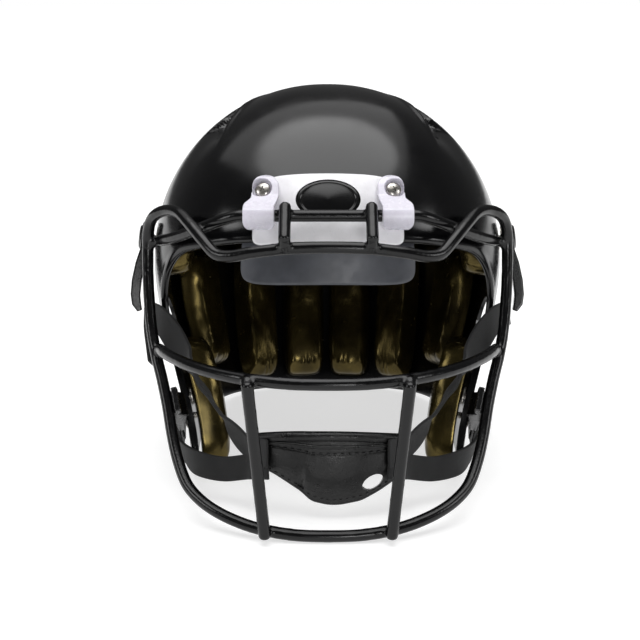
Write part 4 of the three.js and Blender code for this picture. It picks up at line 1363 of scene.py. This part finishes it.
class HELMET_OT_straps(bpy.types.Operator):
    """Adds the four snap buckles and the woven straps"""

    bl_idname = "helmet.straps"
    bl_label = "Chin straps"

    def execute(self, context):
        for key, profile, at, heading in (
            ("upper", UPPER_BUCKLE, UPPER_STUD, (0, 0, -1)),
            ("lower", LOWER_BUCKLE, LOWER_STUD, LOWER_STUD_WAY),
        ):
            both_sides(
                lambda name, p=profile, a=at, h=heading: place(self.buckle(name, p), station(*a, h)),
                f"strap_buckle_{key}", f"snap_{key}_#", "black_plastic", "black",
            )
        for key, line, ways, width in (
            ("upper", UPPER_STRAP, UPPER_STRAP_WAY, 18.0),
            ("lower", LOWER_STRAP, LOWER_STRAP_WAY, 16.0),
        ):
            right = to_table(ribbon(f"chin_strap_{key}_right", line, ways, width, 2.0))
            soften(right)
            paint(right, "webbing")
            left = mirrored_copy(right, f"chin_strap_{key}_left")
            for strap, side, sign in ((right, "right", 1), (left, "left", -1)):
                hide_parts(f"chin_strap_{key}_{side}")
                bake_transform(strap)
        tail = ribbon("strap_tail_left", STRAP_TAIL, [(0, 0.9, 0.3)] * 2, 15.0, 1.8, rows=60)
        finish(tail, "webbing", "snap_upper_left", "strap_webbing")
        return {"FINISHED"}

    @staticmethod
    def buckle(name, profile):
        """A snap cap with a strap loop, moulded in one piece."""
        body = slab(name, profile, -11.0, 11.0)
        p = coords(body)
        set_coords(body, np.stack([p[:, 0], -p[:, 2], p[:, 1]], -1))
        outward(body)
        cap = turned("cap", [(0, 8.6), (8.2, 8.6), (8.2, 10.2), (7.4, 11.0), (4, 11.5), (0, 11.6)], 40)
        cap.name = "cutter"
        carve(body, cap, operation="UNION", solver="EXACT")
        socket = turned("cutter", [(0, -5), (3.7, -5), (3.7, 8.6), (0, 8.6)], 32)
        groove = slab("cutter", rounded_box_outline(4.0, 15.0, 1.8), 0.0, 20.0)
        p = coords(groove)
        set_coords(groove, p + np.array([17.0 if len(profile) > 12 else 14.0, 0, 0]))
        carve(body, socket, groove, solver="EXACT")
        return moulded(body, 0.45, 4)


# ---- chin cup ----
CUP_HALF = 50.0
CUP_LOW_X = [-50, -44, -39.7, -34.8, -25.5, -16.2, -11, 0, 7.4, 21, 32.8, 42.6, 50]
CUP_LOW_Z = [-121.5, -123, -124.2, -126.2, -132.0, -138.0, -143.5, -146, -146, -143.4, -137.1, -130.5, -122]


def cup_face(across, down):
    """The cup's outer face: across from -1 to 1, down from 0 at its top edge to 1."""
    round_ = np.sqrt(1 - 0.9 * across**2)
    x = np.linspace(-50, 50, 201)
    low = np.interp(x, CUP_LOW_X, CUP_LOW_Z)
    kernel = np.ones(13) / 13
    low = np.convolve(np.pad(low, 6, mode="edge"), kernel, mode="valid")
    bottom = np.interp(across * CUP_HALF, x, low)
    top = -104.0 + 5.0 * (1 - across**2)
    under = 1 - 0.45 * down**2
    return np.stack([across * CUP_HALF, -106.0 - 26.0 * under * round_, top + (bottom - top) * down], -1)


def cup_point(across, down, inset):
    across = np.clip(np.asarray(across, float), -0.999, 0.999)
    down = np.asarray(down, float)
    e = 0.002
    side = cup_face(across + e * (across < 0.99), down) - cup_face(across - e, down)
    fall = cup_face(across, down + e) - cup_face(across, down - e)
    inward = unit(np.cross(side, fall))
    inward = np.where(inward[..., 1:2] < 0, -inward, inward)
    return cup_face(across, down) + inward * np.asarray(inset, float)[..., None]


class HELMET_OT_chin_cup(bpy.types.Operator):
    """Adds the leather chin cup with its rolled edge, piping, stitches and lining"""

    bl_idname = "helmet.chin_cup"
    bl_label = "Chin cup"

    def execute(self, context):
        cup = self.sheet("chin_cup", 0.0, 3.0, 0.9)
        hole = slab("cutter", [(7.2 * c, 4.2 * s) for c, s in arc(0, 0, 1, 0, 352, 45)], 0.0, 60.0)
        p = coords(hole)
        a = math.radians(32)
        x = 28.0 + p[:, 0] * math.cos(a) - p[:, 1] * math.sin(a)
        z = -131.5 + p[:, 0] * math.sin(a) + p[:, 1] * math.cos(a)
        set_coords(hole, np.stack([x, -80.0 - p[:, 2], z], -1))
        outward(hole)
        lining_hole = hole.copy()
        lining_hole.data = hole.data.copy()
        bpy.context.collection.objects.link(lining_hole)
        carve(cup, hole, solver="EXACT")
        spread = np.linspace(-0.985, 0.985, 60)
        roll = rope("roll", cup_point(spread, np.full(60, 0.06), np.full(60, 1.6)), 3.3, 24, 160)
        piping = rope("piping", cup_point(spread, np.full(60, 0.2), np.full(60, 0.2)), 1.3, 12, 160)
        hem = rope("hem", cup_point(spread, np.full(60, 0.985), np.full(60, 1.5)), 1.7, 16, 160)
        parts = [roll, piping, hem] + self.stitches(0.29, 4.4, np.linspace(-0.9, 0.9, 21))
        parts += self.stitches(0.93, 4.0, np.linspace(-0.9, 0.9, 23))
        cup = joined("chin_cup", cup, *parts)
        finish(cup, "leather", "helmet", "cup_leather", "chin_cup", degrees=50)
        lining = self.sheet("chin_cup_lining", 4.2, 9.0, 0.86)
        carve(lining, lining_hole, solver="EXACT")
        modify(lining, "SMOOTH", factor=0.5, iterations=6)
        finish(lining, "lining", "helmet", "cup_lining", "chin_cup_pad", degrees=50)
        return {"FINISHED"}

    @staticmethod
    def sheet(name, front, back, reach):
        """A curved sheet between two insets, its face puckered a little along the seams."""
        deselect()
        bpy.ops.mesh.primitive_grid_add(x_subdivisions=150, y_subdivisions=56, size=2.0)
        obj = named(name)
        p = coords(obj)
        across = p[:, 0] * (1 - (1 - reach) * 0.1)
        down = 0.5 - p[:, 1] / 2 * (0.99 if reach > 0.88 else 0.94)
        dart = np.exp(-(((across + 0.37 - 0.12 * (1 - down)) / 0.035) ** 2)) * smooth((down - 0.4) / 0.4)
        groove = 0.5 * np.exp(-(((down - 0.29) / 0.02) ** 2))
        crown = -1.2 * np.exp(-((across / 0.35) ** 2) - ((down - 0.6) / 0.22) ** 2)
        relief = (1.4 * dart + groove + crown) if front == 0.0 else 0.0 * across
        set_coords(obj, cup_point(across, down, front + np.maximum(relief, -1.2)))
        modify(obj, "SOLIDIFY", thickness=back - front, offset=-1.0, use_even_offset=False)
        outward(obj)
        return obj

    @staticmethod
    def stitches(down, length, spread):
        made = []
        for across in spread:
            places = across + np.array([-1.0, 0.0, 1.0]) * length / 210
            ends = cup_point(places, np.full(3, down), [0.1, -0.25, 0.1])
            made.append(rope("stitch", ends, 0.42, 8, 10))
        return made


# ---- liner ----
PAD_TOP = -(SHELL_WALL + 3.4)
PADS = [
    ("rear_pad_inner", (18, 128, -25), 35.0, 122.0, 6.0, 18.0, "helmet", (-3.0, 32.0)),
    ("rear_pad_outer", (55, 112, -25), 38.0, 122.0, 6.0, 18.0, "helmet", (-3.0, 32.0)),
    ("ear_pad", (100, 62, -28), 50.0, 92.0, 6.0, 18.0, "helmet", (-14.0, 16.0)),
    ("side_pad", (112, -16, 22), 71.0, 55.0, 6.0, 18.0, "helmet", (0.0,)),
    ("jaw_pad", (96, -42, -86), 52.0, 82.0, 6.0, 20.0, "jaw_pad_#", ()),
]


class HELMET_OT_liner(bpy.types.Operator):
    """Adds the padded liner: vinyl-covered cushions, swollen by simulation"""

    bl_idname = "helmet.liner"
    bl_label = "Liner pads"

    def execute(self, context):
        for name, centre, width, height, power, thick, body, seams in PADS:
            pair = both_sides(
                lambda title, c=centre, w=width, h=height, q=power, t=thick, n=seams: self.cushion(
                    title, c, w, h, q, t, seams=n
                ),
                name, body, "gold_vinyl_pad", "gold",
            )
        front = self.cushion("front_pad", (0, -130, 21), 124.0, 60.0, 7.0, 18.0, flare=0.06)
        finish(front, "grey", "helmet", "dark_vinyl_pad", "front_pad", degrees=60)
        crown = self.cushion("crown_pad", (0, 5, 130), 104.0, 120.0, 4.0, 18.0, up=(0, -1, 0))
        finish(crown, "gold", "helmet", "gold_vinyl_pad", "crown_pad", degrees=60)
        return {"FINISHED"}

    @staticmethod
    def cushion(name, centre, width, height, power, thick, up=(0, 0, 1), seams=(), flare=0.0):
        """One cushion: flat where it meets the shell, crowned towards the head, with a welded seam."""
        segments, rings = 128, 72
        obj, ring, turn = ball_grid(name, segments, rings)
        middle, side, top = frame_at(centre, up)
        angle = turn * 2 * math.pi / segments
        c, s = np.cos(angle), np.sin(angle)
        reach = 1.0 / (np.abs(c) ** power + np.abs(s) ** power) ** (1.0 / power)
        t = ring / rings
        hem = 0.96 + 0.04 * np.sin((t - 0.3) / 0.14 * math.pi / 2)
        share = np.where(t < 0.3, t / 0.3 * 0.96, np.where(t < 0.44, hem, 1.0))
        inner = np.clip((1 - t) / 0.56, 0, 1)
        share = np.where(t > 0.44, np.sin(inner * math.pi / 2) ** 0.8, share)
        depth = np.where(t <= 0.44, 0.6 * np.clip((t - 0.3) / 0.14, 0, 1), 0.0)
        face = np.clip(1 - np.abs(share) ** 9, 0, 1) ** 0.34
        depth = np.where(t > 0.44, 1.2 + (thick - 1.4) * face, depth)
        a = share * reach * c * width / 2 * (1 - flare * share * reach * s)
        b = share * reach * s * height / 2
        for seam in seams:
            face = face * (1 - 0.5 * np.exp(-(((b - seam) / 2.6) ** 2)))
        creases = np.sin(angle * 17.0 + 2.2 * np.sin(angle * 5.0)) * np.exp(-(((share - 0.9) / 0.09) ** 2))
        waves = 0.5 * np.sin(b / 11.0 + 1.3) * np.sin(a / 9.0 + b / 23.0)
        depth = depth + np.where(t > 0.44, 0.45 * creases + waves * face - 0.3, 0.0)
        depth = np.clip(depth, 0.0, thick)
        flat = middle + a[:, None] * side + b[:, None] * top
        set_coords(obj, on_skin(flat, PAD_TOP - depth))
        HELMET_OT_liner.swell(obj)
        return obj

    @staticmethod
    def swell(obj):
        """Inflates the cushion as cloth, held where it meets the shell, and lays the result on its mesh."""
        rest = coords(obj)
        skin = obj.copy()
        skin.data = obj.data.copy()
        bpy.context.collection.objects.link(skin)
        set_coords(skin, rest / 1000.0)
        modify(skin, "REMESH", mode="VOXEL", voxel_size=0.004, use_smooth_shade=True)
        start = coords(skin)
        depth = PAD_TOP - skin_depth(start * 1000.0)
        held = skin.vertex_groups.new(name="held")
        held.add([int(i) for i in np.nonzero(depth < 4.0)[0]], 1.0, "REPLACE")
        cloth = skin.modifiers.new("Cloth", "CLOTH")
        cloth.settings.use_pressure = True
        cloth.settings.uniform_pressure_force = 4.0
        cloth.settings.mass = 0.15
        cloth.settings.tension_stiffness = 22.0
        cloth.settings.bending_stiffness = 0.6
        cloth.settings.vertex_group_mass = "held"
        cloth.settings.effector_weights.gravity = 0.0
        cloth.point_cache.frame_start = 1
        cloth.point_cache.frame_end = 20
        for step in range(1, 21):
            bpy.context.scene.frame_set(step)
        choose(skin)
        bpy.ops.object.modifier_apply(modifier=cloth.name)
        bpy.context.scene.frame_set(1)
        moved = coords(skin) - start
        size = np.linalg.norm(moved, axis=1, keepdims=True)
        moved *= np.minimum(1.0, 0.005 / np.maximum(size, 1e-9))
        # Each vertex of the fine mesh takes the mean move of the cloth points round it.
        tree = KDTree(len(start))
        for index, at in enumerate(start):
            tree.insert(at, index)
        tree.balance()
        pull = np.zeros_like(rest)
        for index, at in enumerate(rest / 1000.0):
            near = tree.find_n(at, 5)
            weight = np.array([1.0 / (d + 0.0005) for _, _, d in near])
            pull[index] = (moved[[i for _, i, _ in near]] * weight[:, None]).sum(axis=0) / weight.sum()
        set_coords(obj, rest + pull * 1000.0)
        bpy.data.objects.remove(skin, do_unlink=True)


class HELMET_PT_panel(bpy.types.Panel):
    """Lists the sizes and colours, and one button for each group of pieces"""

    bl_idname = "HELMET_PT_panel"
    bl_label = "Football helmet"
    bl_space_type = "VIEW_3D"
    bl_region_type = "UI"
    bl_category = "Helmet"

    def draw(self, context):
        column = self.layout.column()
        for key, group in SETTINGS.items():
            column.label(text=group.__doc__)
            for field in group.__annotations__:
                column.prop(getattr(context.scene, key), field)
        for operator in OPERATORS:
            column.operator(operator.bl_idname)


SETTINGS = {
    "helmet_stage": StageSettings,
    "helmet_shell": ShellSettings,
    "helmet_mask": MaskSettings,
    "helmet_liner": LinerSettings,
}
OPERATORS = [
    HELMET_OT_stage, HELMET_OT_shell, HELMET_OT_mask, HELMET_OT_bumpers, HELMET_OT_clips, HELMET_OT_hardware,
    HELMET_OT_straps, HELMET_OT_chin_cup, HELMET_OT_liner,
]
CLASSES = [*SETTINGS.values(), *OPERATORS, HELMET_PT_panel]


def register():
    for item in CLASSES:
        bpy.utils.register_class(item)
    for key, group in SETTINGS.items():
        setattr(bpy.types.Scene, key, bpy.props.PointerProperty(type=group))


def unregister():
    for key in SETTINGS:
        delattr(bpy.types.Scene, key)
    for item in reversed(CLASSES):
        bpy.utils.unregister_class(item)


def main():
    register()
    bpy.ops.helmet.stage()
    bpy.ops.helmet.shell()
    bpy.ops.helmet.mask()
    bpy.ops.helmet.bumpers()
    bpy.ops.helmet.clips()
    bpy.ops.helmet.hardware()
    bpy.ops.helmet.straps()
    bpy.ops.helmet.chin_cup()
    bpy.ops.helmet.liner()


if __name__ == "__main__":
    main()
